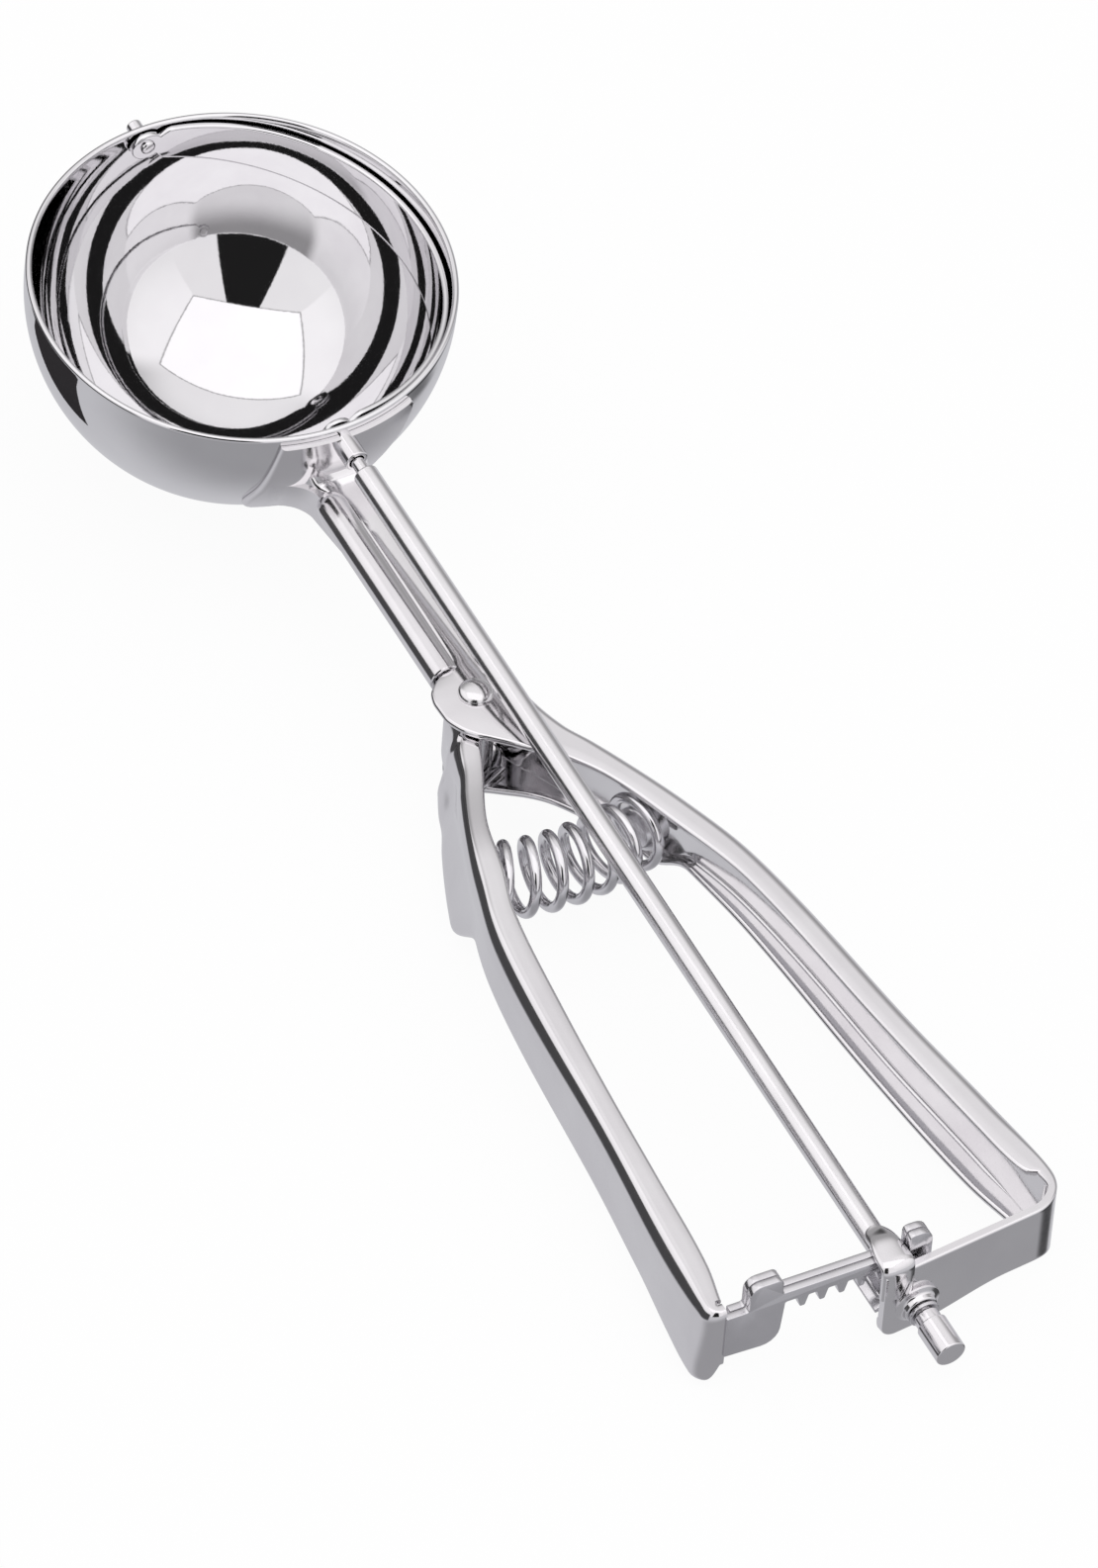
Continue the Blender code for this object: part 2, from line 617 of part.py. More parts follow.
def end_plate(name, side, start, radius, sweep, run, heights, material):
    """Sheet from the end of a lever round its corner, and on across the scoop by run."""
    centre = (LEVER_HALF_SPAN - radius, -start - CLEARANCE)
    line = arc(centre, radius, 0.0, sweep - 90.0, 8)
    across, along = line[-1]
    slope = math.tan(math.radians(sweep))
    for share in (0.3, 0.5, 0.7, 1.0):
        if run > 0.0:
            line.append((across - run * share, along - run * share * slope))
    rows = []
    for across, along in line:
        share = ramp(LEVER_HALF_SPAN - across, 0.35 * LEVER_HALF_SPAN, 0.9 * LEVER_HALF_SPAN)
        height = heights[0] + (heights[1] - heights[0]) * share
        rows.append([(side * across, along, 0.0), (side * across, along, -height)])
    thing = surface(name, rows, lever_plane, material)
    thicken(thing, STRAP_THICKNESS, side)
    smooth(thing)
    return thing


def hood():
    """Tongue folded back from the strap's top over the rack, drawn down at its far end."""
    face = -strap_face(0.0) + SHEET / 20
    top = HOOD_UNDER + SHEET
    line = [(face, -HOOD_ROOT), (face, top - HOOD_BEND)]
    line += [(face + HOOD_BEND + along, top - HOOD_BEND + up)
             for along, up in arc((0.0, 0.0), HOOD_BEND, 162.0, 90.0, 5)]
    line += [(face + HOOD_LENGTH * share, top) for share in (0.55, 0.8, 0.93, 1.0)]
    rows = []
    for along, up in line:
        share = (along - face) / HOOD_LENGTH
        half = HOOD_HALF_WIDTH * (1 - 0.22 * ramp(share, 0.4, 0.9) - 0.3 * ramp(share, 0.93, 1.0))
        rows.append([(HOOD_OFFSET + half * across, along, up)
                     for across in (-1.0, -0.4, 0.4, 1.0)])
    thing = surface("strap_hood", rows, lever_plane, None, cutters)
    thicken(thing, SHEET * 0.95, -1.0)
    return hide_cutter(thing)


def end_strap():
    run = LEVER_HALF_SPAN - CORNER_RADIUS + BRACKET_REACH
    thing = end_plate("end_strap", 1, LEVER_LENGTH, CORNER_RADIUS, STRAP_SWEEP, run,
                      (STRAP_LOW_HEIGHT, STRAP_HEIGHT), sheet_steel)
    cut_or_join(thing, hood(), "UNION")
    bore = round_cutter("strap_bush_hole", COLLAR_RADIUS + CLEARANCE, CUTTER_LENGTH, lying,
                        (0, -strap_front(), 0), (math.pi / 2, 0, 0))
    cut_or_join(thing, bore, "DIFFERENCE")
    return thing


def leaf(name, setback, has_plate):
    """One leaf of the rack: stops at both ends, teeth along its lower edge.

    Places across are measured from the pivot line, and the leaf turns about the rod."""
    right = ROD_X + PITCH
    right_tab = HOOD_OFFSET + HOOD_HALF_WIDTH + CLEARANCE
    left_tab = HOOD_OFFSET - HOOD_HALF_WIDTH - CLEARANCE - math.radians(LEVER_TRAVEL) * LEAF_FRONT
    shelf = left_tab - LEFT_TAB_WIDTH
    left = MOVING_CORNER_RADIUS - LEVER_HALF_SPAN + CLEARANCE
    top = LEAF_TOP
    high = top + TAB_RISE
    inside, outside = TAB_INNER_ROUND, TAB_OUTER_ROUND
    outline = [(right_tab, top)]
    outline += arc((right_tab + inside, high - inside), inside, 180.0, 90.0, 4)
    outline += arc((right_tab + RIGHT_TAB_WIDTH - outside, high - outside), outside, 90.0, 0.0, 5)
    outline += [(right_tab + RIGHT_TAB_WIDTH, RACK_ROOT)]
    for index in range(RACK_TEETH):
        centre = ROD_X + (0.5 - index) * PITCH
        outline += [(centre + 0.30 * PITCH, RACK_ROOT), (centre + 0.13 * PITCH, RACK_TIP),
                    (centre - 0.13 * PITCH, RACK_TIP), (centre - 0.30 * PITCH, RACK_ROOT)]
    last = ROD_X + (0.5 - RACK_TEETH) * PITCH
    outline += [(last + 0.1 * PITCH, RACK_ROOT), (last - 0.2 * PITCH, RACK_TIP)]
    if has_plate:
        drop = PLATE_HEIGHT + RACK_TIP
        outline += [(last - 0.5 * PLATE_RUN, RACK_TIP - 0.54 * drop),
                    (last - PLATE_RUN, RACK_TIP - 0.8 * drop), (left, -PLATE_HEIGHT), (left, 0.0)]
    else:
        end = left + REAR_LEAF_INSET
        outline += [(end, RACK_TIP - 0.2 * PITCH), (end, 0.0)]
    outline.append((shelf, 0.0))
    outline += arc((shelf + outside, high - outside), outside, 180.0, 90.0, 5)
    outline += arc((left_tab - inside, high - inside), inside, 90.0, 0.0, 4)
    outline.append((left_tab, top))
    outline = [(across - ROD_X, up) for across, up in outline]
    thing = flat_outline(name, [outline], LEAF_THICKNESS, lever_plane, cut_steel)
    thing.location = (ROD_X, -LEAF_FRONT + setback + LEAF_THICKNESS / 2, 0.0)
    thing.rotation_euler = (math.pi / 2, 0.0, -math.radians(RACK_SWEEP))
    return thing


def moving_end():
    """The moving lever's corner and the two leaves of its rack."""
    height = 0.97 * END_HEIGHT
    end_plate("moving_end_plate", -1, moving_length(), MOVING_CORNER_RADIUS, 0.0, 0.0,
              (height, height), mirror_steel)
    leaf("rack_front_leaf", 0.0, True)
    leaf("rack_rear_leaf", LEAF_THICKNESS + CLEARANCE / 3, False)


def pinion():
    root = PITCH_RADIUS - TOOTH_DEDENDUM
    tip = PITCH_RADIUS + TOOTH_ADDENDUM
    step = 360.0 / TOOTH_COUNT
    outline = []
    for index in range(TOOTH_COUNT):
        middle = 90.0 + index * step
        for angle, radius in ((-0.29, root), (-0.12, tip), (0.12, tip), (0.29, root)):
            turn = math.radians(middle + angle * step)
            outline.append((radius * math.cos(turn), radius * math.sin(turn)))
    bore = circle((0.0, 0.0), SPINDLE_RADIUS + CLEARANCE, 20)
    thing = flat_outline("pinion", [outline, bore], PINION_LENGTH, lying, cut_steel)
    thing.location = (0.0, -pinion_front() + PINION_LENGTH / 2, 0.0)
    thing.rotation_euler = (math.pi / 2, 0.0, 0.0)


def pinion_front():
    """Front of the pinion, clear of the strap, which leans towards it above and beside."""
    lean = math.hypot(math.tan(LEVER_TILT), math.tan(math.radians(STRAP_SWEEP)))
    gap = max(BUSH_INSIDE, (PITCH_RADIUS + TOOTH_ADDENDUM) * lean) + CLEARANCE
    return rod_distance(STRAP_BACK) - gap


def drive_rod():
    """Rod, with its thin riveted end in the bowl and its spindle at the handle."""
    inside = BOWL_RADIUS - BOWL_WALL - CLEARANCE - BLADE_THICKNESS - CLEARANCE
    step = pinion_front() - PINION_LENGTH - CLEARANCE
    tip = -cap_end() + CAP_FLOOR + CLEARANCE
    chamfer = 0.15 * ROD_RADIUS
    profile = [(0.0, -inside + SHAFT_HEAD_LENGTH),
               (SHAFT_HEAD_RADIUS * 0.6, -inside + SHAFT_HEAD_LENGTH),
               (SHAFT_HEAD_RADIUS, -inside + SHAFT_HEAD_LENGTH * 0.4), (SHAFT_HEAD_RADIUS, -inside),
               (SHAFT_RADIUS, -inside), (SHAFT_RADIUS, -ROD_START),
               (ROD_RADIUS - chamfer, -ROD_START), (ROD_RADIUS, -ROD_START - chamfer),
               (ROD_RADIUS, -step + chamfer), (ROD_RADIUS - chamfer, -step),
               (SPINDLE_RADIUS, -step), (SPINDLE_RADIUS, tip), (0.0, tip)]
    return along_rod(turned("drive_rod", profile, lying, mirror_steel, steps=24))


def fittings():
    along_rod(sleeve("near_bush", SHAFT_RADIUS + CLEARANCE, NEAR_BUSH_RADIUS,
                     -BUSH_INNER_END - NEAR_BUSH_LENGTH, -BUSH_INNER_END, lying, mirror_steel,
                     0.15 * NEAR_BUSH_RADIUS))
    front = -strap_front()
    along_rod(sleeve("strap_bush", SPINDLE_RADIUS + CLEARANCE, COLLAR_RADIUS,
                     front - COLLAR_LENGTH, -rod_distance(STRAP_BACK) + BUSH_INSIDE, lying,
                     cut_steel, COLLAR_LENGTH / 3))
    ring = front - COLLAR_LENGTH - CLEARANCE
    along_rod(sleeve("retaining_ring", SPINDLE_RADIUS + CLEARANCE, RING_RADIUS,
                     ring - RING_THICKNESS, ring, lying, cut_steel))
    bore = SPINDLE_RADIUS + CLEARANCE
    start, end = -cap_start(), -cap_end()
    lip = 0.16 * CAP_RADIUS
    profile = [(0.0, end + CAP_FLOOR), (bore, end + CAP_FLOOR), (bore, start + CAP_NECK_LENGTH),
               (CAP_NECK_RADIUS, start + CAP_NECK_LENGTH), (CAP_NECK_RADIUS, start + lip / 2),
               (CAP_RADIUS - lip / 2, start), (CAP_RADIUS, start - lip), (CAP_RADIUS, end + lip),
               (CAP_RADIUS - lip, end), (0.0, end)]
    along_rod(turned("end_cap", profile, lying, mirror_steel, steps=32))


def far_pin():
    """Pivot of the blade's far end: a headed pin through the blade's lobe and the bowl."""
    inside = BOWL_RADIUS - BOWL_WALL - 2 * CLEARANCE - BLADE_THICKNESS
    outer = BOWL_RADIUS + FAR_PIN_REACH
    lip = 0.2 * FAR_PIN_RADIUS
    top = inside - FAR_HEAD_HEIGHT
    profile = [(0.0, outer), (FAR_PIN_RADIUS - lip, outer), (FAR_PIN_RADIUS, outer - lip),
               (FAR_PIN_RADIUS, inside), (FAR_HEAD_RADIUS, inside),
               (FAR_HEAD_RADIUS, inside - 0.45 * FAR_HEAD_HEIGHT), (FAR_HEAD_RADIUS * 0.6, top),
               (0.0, top)]
    along_rod(turned("far_pin", profile, lying, mirror_steel, steps=24))


def blade():
    """A half ring on the bowl's inner sphere, round-ended where it is pivoted.

    A point is found by its angle round the half ring and its distance to either side,
    both measured on the sphere, so that the round ends pass over the pivots."""
    radius = BOWL_RADIUS - BOWL_WALL - CLEARANCE
    lobe = math.degrees(BLADE_LOBE_RADIUS / radius)
    rest = math.radians(BLADE_REST_ANGLE)
    out = (math.cos(rest), -math.sin(rest))
    across = (math.sin(rest), math.cos(rest))
    turns = [-90.0 - lobe * share for share in (0.98, 0.9, 0.7, 0.35, 0.0)]
    turns += [-90.0 + lobe * share for share in (0.4, 0.8, 1.3)]
    turns += [-75.0 + 150.0 * step / 16 for step in range(17)]
    turns += [-turn for turn in reversed(turns[:8])]
    rows = []
    for turn in turns:
        past = (abs(turn) - 90.0) / lobe
        band = BLADE_END_WIDTH / 2 + (BLADE_WIDTH - BLADE_END_WIDTH) / 2 * math.cos(math.radians(
            min(90.0, abs(turn)))) ** 0.5
        if past > -0.8:
            half = BLADE_LOBE_RADIUS * math.sqrt(max(0.02, 1 - past ** 2))
            half = max(half, band * ramp(-past, 0.0, 0.8))
        else:
            half = band
        ring = math.radians(turn)
        row = []
        for step in range(7):
            side = (1 - 2 * step / 6) * half / radius
            level = radius * math.cos(side)
            row.append((level * math.cos(ring) * out[0] + radius * math.sin(side) * across[0],
                        level * math.sin(ring),
                        level * math.cos(ring) * out[1] + radius * math.sin(side) * across[1]))
        rows.append(row)
    thing = surface("scraper_blade", rows, lying, mirror_steel)
    thicken(thing, BLADE_THICKNESS, -1.0)
    smooth(thing)
    near = round_cutter("blade_shaft_hole", SHAFT_RADIUS + CLEARANCE, CUTTER_LENGTH, lying,
                        (0, -radius, 0), (math.pi / 2, 0, 0))
    far = round_cutter("blade_pin_hole", FAR_PIN_RADIUS + CLEARANCE, CUTTER_LENGTH, lying,
                       (0, radius, 0), (math.pi / 2, 0, 0))
    cut_or_join(thing, near, "DIFFERENCE")
    cut_or_join(thing, far, "DIFFERENCE")


def pivot():
    top = CLEARANCE
    bottom = -TALL_HEIGHT - CLEARANCE / 2
    rise = RIVET_HEAD_HEIGHT
    wide = RIVET_HEAD_RADIUS
    profile = [(0.0, top + rise), (wide * 0.5, top + rise * 0.88), (wide * 0.85, top + rise * 0.55),
               (wide, top + rise * 0.1), (wide, top), (RIVET_RADIUS, top), (RIVET_RADIUS, bottom),
               (wide, bottom), (wide * 0.9, bottom - rise * 0.2), (wide * 0.55, bottom - rise * 0.34),
               (0.0, bottom - rise * 0.38)]
    turned("pivot_rivet", profile, lever_plane, mirror_steel, steps=28)
    lugs = 2 * SHEET + 2 * CLEARANCE
    sleeve("pivot_spacer", RIVET_RADIUS + CLEARANCE, SPACER_RADIUS, -TALL_HEIGHT + lugs, -lugs,
           lever_plane, cut_steel)


def spring():
    """Compression spring between the levers, wound round a bent axis."""
    level = -SPRING_DROP
    at_wall = SPRING_REACH - SEAT_SHIFT
    lean = wall_lean(at_wall)
    seat = outer_face(at_wall) - (SHEET + CLEARANCE + SPRING_WIRE / 2) / math.cos(lean)
    bend = seat / math.sin(lean)
    centre = bend - SPRING_REACH
    count = int(SPRING_TURNS * 10)
    points = []
    for index in range(count + 1):
        share = index / count
        along = -lean + 2 * lean * share
        turn = math.radians(90.0) + 2 * math.pi * SPRING_TURNS * share
        reach = bend + SPRING_MEAN_RADIUS * math.cos(turn)
        points.append((reach * math.sin(along), centre - reach * math.cos(along),
                       level + SPRING_MEAN_RADIUS * math.sin(turn)))

    def run_on(last, before):
        run = math.dist(last, before)
        return tuple(a + (a - b) / run * SPRING_WIRE for a, b in zip(last, before))

    points = [run_on(points[0], points[1])] + points + [run_on(points[-1], points[-2])]
    least = min(math.dist(points[i], points[j]) for i in range(len(points))
                for j in range(i + 6, len(points))) - SPRING_WIRE
    print("least gap in the spring, mm:", round(least / MM, 2))
    curve = bpy.data.curves.new("spring", "CURVE")
    curve.dimensions = "3D"
    curve.bevel_depth = SPRING_WIRE / 2
    curve.bevel_resolution = 1
    curve.use_fill_caps = True
    line = curve.splines.new("POLY")
    line.points.add(len(points) - 1)
    for point, place_at in zip(line.points, points):
        point.co = (*place_at, 1.0)
    place(bpy.data.objects.new("spring", curve), lever_plane, wire_steel)
    for name, side in (("spring_stud_fixed", 1), ("spring_stud_moving", -1)):
        shoulder = 0.73 * STUD_LENGTH
        stud = turned(name, [(0.0, STUD_LENGTH), (STUD_RADIUS * 0.7, STUD_LENGTH),
                             (STUD_RADIUS, shoulder), (STUD_RADIUS, 0.0), (0.0, 0.0)],
                      lever_plane, cut_steel, steps=24)
        end = seat + SPRING_WIRE / 2 * math.cos(lean)
        rise = SPRING_WIRE / 2 * math.sin(lean)
        stud.location = (side * end, centre - bend * math.cos(lean) + rise, level)
        stud.rotation_euler = (0.0, -side * math.pi / 2, side * lean)


bowl()
saddle()
neck()
levers()
end_strap()
moving_end()
pinion()
drive_rod()
fittings()
far_pin()
blade()
pivot()
spring()
bpy.context.view_layer.update()
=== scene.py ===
import json
import math

import bmesh
import bpy
import numpy as np
from mathutils import Matrix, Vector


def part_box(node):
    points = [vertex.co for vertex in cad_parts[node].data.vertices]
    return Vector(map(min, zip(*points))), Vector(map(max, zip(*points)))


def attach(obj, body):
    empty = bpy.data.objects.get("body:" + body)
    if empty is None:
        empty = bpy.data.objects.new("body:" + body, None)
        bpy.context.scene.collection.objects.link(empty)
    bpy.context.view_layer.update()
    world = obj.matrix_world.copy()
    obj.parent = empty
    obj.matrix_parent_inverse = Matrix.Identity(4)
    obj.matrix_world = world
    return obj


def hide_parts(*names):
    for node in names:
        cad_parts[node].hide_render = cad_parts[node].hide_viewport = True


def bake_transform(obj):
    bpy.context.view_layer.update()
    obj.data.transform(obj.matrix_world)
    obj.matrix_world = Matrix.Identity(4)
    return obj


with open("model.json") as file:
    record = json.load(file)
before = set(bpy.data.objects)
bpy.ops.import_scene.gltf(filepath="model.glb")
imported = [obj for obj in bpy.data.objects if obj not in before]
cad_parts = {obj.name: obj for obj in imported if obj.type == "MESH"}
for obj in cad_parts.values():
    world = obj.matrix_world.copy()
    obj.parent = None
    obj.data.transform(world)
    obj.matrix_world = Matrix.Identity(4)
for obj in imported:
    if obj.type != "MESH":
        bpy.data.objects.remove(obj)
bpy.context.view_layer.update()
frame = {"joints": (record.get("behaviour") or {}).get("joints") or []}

# Sizes are millimetres in two frames. The rod frame has its origin at the centre of the
# bowl's sphere, +Y along the rod away from the handle and +Z out of the mouth. The lever
# frame has its origin on the neck's top at the pivot and +Z along the pivot; "along" is
# the distance from the pivot towards the handle's end, which is -Y.

joints = {joint["name"]: joint for joint in frame["joints"]}
bowlSize = {"radius": 30.0, "wall": 0.9, "rim": 2.6, "steps": 224, "arcSteps": 110,
            "lastAngle": -89.5}


def unit(vectors):
    # One vector, or each of many, made 1 long.
    vectors = np.asarray(vectors, float)
    return vectors / np.linalg.norm(vectors, axis=-1, keepdims=True)


rodForward = unit(joints["scraper_turn"]["axis"])
rodAxes = np.array([[1.0, 0.0, 0.0], rodForward, np.cross([1.0, 0.0, 0.0], rodForward)])
bowlLow, bowlHigh = (np.array(corner) * 1000 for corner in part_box("bowl"))
bowlCentre = np.array([(bowlLow[0] + bowlHigh[0]) / 2, bowlHigh[1] - bowlSize["radius"],
                       bowlLow[2] + bowlSize["radius"]])
pivotUp = unit(joints["lever_squeeze"]["axis"])
leverAxes = np.array([[1.0, 0.0, 0.0], [0.0, pivotUp[2], -pivotUp[1]], pivotUp])
pivotPlace = np.array(joints["lever_squeeze"]["pos_m"]) * 1000
rodInLever = (bowlCentre - pivotPlace) @ leverAxes.T
rodX = rodInLever[0]
tiltSlope = (leverAxes[1] @ rodAxes[2]) / (leverAxes[1] @ rodAxes[1])


def fromRod(points):
    # From the rod frame in millimetres to the world in metres.
    return (np.asarray(points, float) @ rodAxes + bowlCentre) / 1000


def fromLever(points):
    # The same for the lever frame.
    return (np.asarray(points, float) @ leverAxes + pivotPlace) / 1000


def leverToRod(points):
    return (np.asarray(points, float) @ leverAxes + pivotPlace - bowlCentre) @ rodAxes.T


def rodHeight(along):
    # Height of the rod's axis above the levers' top plane: it falls steadily from the bowl.
    return rodInLever[2] + (rodInLever[1] + along) * tiltSlope


def rodDistance(along):
    # Distance from the bowl's centre to the place where the rod is this far along.
    return -leverToRod([rodX, -along, rodHeight(along)])[1]


# Curves and meshes

def smoothCurve(table, places):
    # Cubic pieces through (place, value) pairs. Each slope is a mean of its two neighbours'
    # rises, or level at a turning point, so that the curve never swings past a pair.
    x, y = np.array(table, float).T
    step = np.diff(x)
    rise = np.diff(y) / step
    first, second = 2 * step[1:] + step[:-1], step[1:] + 2 * step[:-1]
    sameWay = rise[:-1] * rise[1:] > 0
    safe = np.where(sameWay, rise[:-1] * rise[1:], 1.0)
    under = np.where(sameWay, first * rise[1:] + second * rise[:-1], 1.0)
    slope = np.r_[rise[:1], np.where(sameWay, (first + second) * safe / under, 0.0),
                  rise[-1:]]
    places = np.clip(np.asarray(places, float), x[0], x[-1])
    index = np.clip(np.searchsorted(x, places) - 1, 0, len(x) - 2)
    t = (places - x[index]) / step[index]
    leave, arrive = slope[index] * step[index], slope[index + 1] * step[index]
    lift = y[index + 1] - y[index]
    return y[index] + t * (leave + t * (3 * lift - 2 * leave - arrive
                                        + t * (leave + arrive - 2 * lift)))


def ease(value, low, high):
    # A smooth step: nothing up to low, all from high on, level at both ends.
    share = np.clip((np.asarray(value, float) - low) / (high - low), 0, 1)
    return share * share * (3 - 2 * share)


def partWay(first, last, share):
    # The value this share of the way from first to last.
    return first + (last - first) * share


def fullTurn(steps):
    return np.linspace(0, 2 * math.pi, steps, endpoint=False)


def roundCorners(corners, radii, steps=7, support=0.1):
    # A polyline whose inner corners are arcs, each between two close support points.
    corners = np.array(corners, float)
    radii = np.array(radii, float)[:, None]
    here = corners[1:-1]
    u, v = unit(corners[:-2] - here), unit(corners[2:] - here)
    half = np.arccos(np.clip((u * v).sum(axis=1), -1, 0.9999))[:, None] / 2
    inward = unit(u + v)
    across = unit(u - inward * (u * inward).sum(axis=1)[:, None])
    centre = here + inward * radii / np.sin(half)
    angle = (math.pi / 2 - half) * np.linspace(1, -1, steps)
    arcs = (centre[:, None] - inward[:, None] * (radii * np.cos(angle))[..., None]
            + across[:, None] * (radii * np.sin(angle))[..., None])
    cut = radii / np.tan(half) + support
    rounded = np.concatenate([(here + u * cut)[:, None], arcs, (here + v * cut)[:, None]], axis=1)
    return np.r_[corners[:1], rounded.reshape(-1, 2), corners[-1:]]


def loopCorners(corners, radii, steps=6):
    # The same for a closed outline, where every corner is rounded.
    ring = np.array(corners, float)
    return roundCorners(np.r_[ring[-1:], ring, ring[:1]], radii, steps, 0.03)[1:-1]


def gridFaces(rows, columns):
    # Quads between neighbours of a grid of points that closes round each row.
    row, column = np.meshgrid(np.arange(rows - 1), np.arange(columns), indexing="ij")
    first = (row * columns + column).ravel()
    ahead = (row * columns + (column + 1) % columns).ravel()
    return np.c_[first, ahead, ahead + columns, first + columns].tolist()


def addPiece(name, points, faces, finish, body=None, replaced=(), sharp=35.0):
    # finish is (material, slot), of which the slot is not used. Doubles are merged and faces
    # turned outwards.
    mesh = bpy.data.meshes.new(name)
    mesh.from_pydata(np.asarray(points).tolist(), [], faces)
    shape = bmesh.new()
    shape.from_mesh(mesh)
    bmesh.ops.remove_doubles(shape, verts=shape.verts, dist=0.0000004)
    bmesh.ops.recalc_face_normals(shape, faces=shape.faces)
    shape.to_mesh(mesh)
    shape.free()
    mesh.shade_smooth()
    mesh.set_sharp_from_angle(angle=math.radians(sharp))
    mesh.materials.append(finish[0])
    piece = bpy.data.objects.new(name, mesh)
    bpy.context.scene.collection.objects.link(piece)
    if body:
        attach(piece, body)
    if replaced:
        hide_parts(*replaced)
    return piece


def addLoft(name, rings, finish, body=None, replaced=(), sharp=35.0):
    # A closed skin over rings of points, with a flat cap at each end.
    rows, columns = rings.shape[:2]
    faces = gridFaces(rows, columns)
    faces.append(list(range(columns))[::-1])
    faces.append(list(range((rows - 1) * columns, rows * columns)))
    return addPiece(name, rings.reshape(-1, 3), faces, finish, body, replaced, sharp)


def addTurned(name, profile, toWorld, finish, body, replaced=(), steps=96, about="y"):
    # (radius, place) pairs turned about the rod frame's Y or a frame's Z. A profile that
    # starts and ends on the axis is solid, and one that comes back to its start is a sleeve.
    radius, place = np.array(profile, float).T
    turn = fullTurn(steps)
    a, b = np.outer(radius, np.cos(turn)), np.outer(radius, np.sin(turn))
    c = np.repeat(place[:, None], steps, axis=1)
    rings = np.stack([a, c, b] if about == "y" else [a, b, c], axis=-1)
    return addPiece(name, toWorld(rings.reshape(-1, 3)), gridFaces(len(radius), steps), finish,
                    body, replaced)


# Finishes

def feed(node, keys, values):
    # A number or colour is set in its input, and another node's output is linked to it.
    for key, value in zip(keys, values):
        if isinstance(value, bpy.types.NodeSocket):
            node.id_data.links.new(value, node.inputs[key])
        else:
            node.inputs[key].default_value = value
    return node


def addNode(tree, kind, **inputs):
    return feed(tree.nodes.new(kind), [key.replace("_", " ") for key in inputs],
                inputs.values())


def shaderMix(tree, share, first, second):
    made = feed(tree.nodes.new("ShaderNodeMixShader"), range(3), (share, first, second))
    return made.outputs["Shader"]


def noiseOf(tree, place, scale, detail):
    return addNode(tree, "ShaderNodeTexNoise", Vector=place, Scale=scale, Detail=detail,
                   Roughness=0.6).outputs["Fac"]


def bumpOf(tree, height, strength, distance, **under):
    return addNode(tree, "ShaderNodeBump", Height=height, Strength=strength,
                   Distance=distance, **under).outputs["Normal"]


def steelFinish(name, dark, light, gloss, swell, grain, brushed=(1.0, 1.0, 1.0)):
    # Stainless steel: a faint drift of colour, fine wear in the gloss, long polishing swells
    # and a fine grain. brushed stretches the grain along an axis of the object.
    material = bpy.data.materials.new(name)
    material.use_nodes = True
    tree = material.node_tree
    place = tree.nodes.new("ShaderNodeTexCoord").outputs["Object"]
    tint = addNode(tree, "ShaderNodeValToRGB", Fac=noiseOf(tree, place, 75.0, 3.0))
    for element, position, colour in zip(tint.color_ramp.elements, (0.32, 0.68), (dark, light)):
        element.position = position
        element.color = (*colour, 1)
    wear = addNode(tree, "ShaderNodeMapRange", Value=noiseOf(tree, place, 850.0, 4.0),
                   From_Min=0.35, From_Max=0.75, To_Min=gloss[0], To_Max=gloss[1])
    stretched = addNode(tree, "ShaderNodeMapping", Vector=place, Scale=brushed)
    swells = bumpOf(tree, noiseOf(tree, place, 90.0, 1.0), swell, 0.0005)
    normal = bumpOf(tree, noiseOf(tree, stretched.outputs["Vector"], 2400.0, 2.0), grain, 0.00002,
                    Normal=swells)
    feed(tree.nodes["Principled BSDF"], ("Metallic", "Base Color", "Roughness", "Normal"),
         (1.0, tint.outputs["Color"], wear.outputs["Result"], normal))
    return material


mirror = (steelFinish("mirrorPolishedSteel", (0.79, 0.78, 0.795), (0.83, 0.825, 0.835),
                      (0.015, 0.05), 0.05, 0.05), "mirror_polished_steel")
lever = (steelFinish("leverSteel", (0.80, 0.785, 0.80), (0.85, 0.84, 0.85),
                     (0.08, 0.15), 0.02, 0.06), "mirror_polished_steel")
satin = (steelFinish("satinRodSteel", (0.80, 0.79, 0.80), (0.86, 0.85, 0.86),
                     (0.14, 0.24), 0.03, 0.25, (1.0, 0.05, 1.0)), "mirror_polished_steel")
sheet = (steelFinish("sheetSteel", (0.79, 0.775, 0.79), (0.85, 0.835, 0.85),
                     (0.09, 0.17), 0.10, 0.15), "polished_sheet_steel")
cut = (steelFinish("cutSteel", (0.70, 0.69, 0.71), (0.80, 0.79, 0.81),
                   (0.16, 0.26), 0.06, 0.35, (1.0, 1.0, 0.15)), "cut_steel")
wire = (steelFinish("wireSteel", (0.72, 0.71, 0.73), (0.82, 0.81, 0.83),
                    (0.08, 0.15), 0.06, 0.20), "spring_wire")
print("finishes made")


# Bowl: a sphere's lower half with a short straight rim, as thin as its sheet

def sphereArc(radius, start, end, count):
    # (radius, height) pairs on a circle between two elevations in degrees.
    angle = np.radians(np.linspace(start, end, count))
    return np.c_[radius * np.cos(angle), radius * np.sin(angle)]


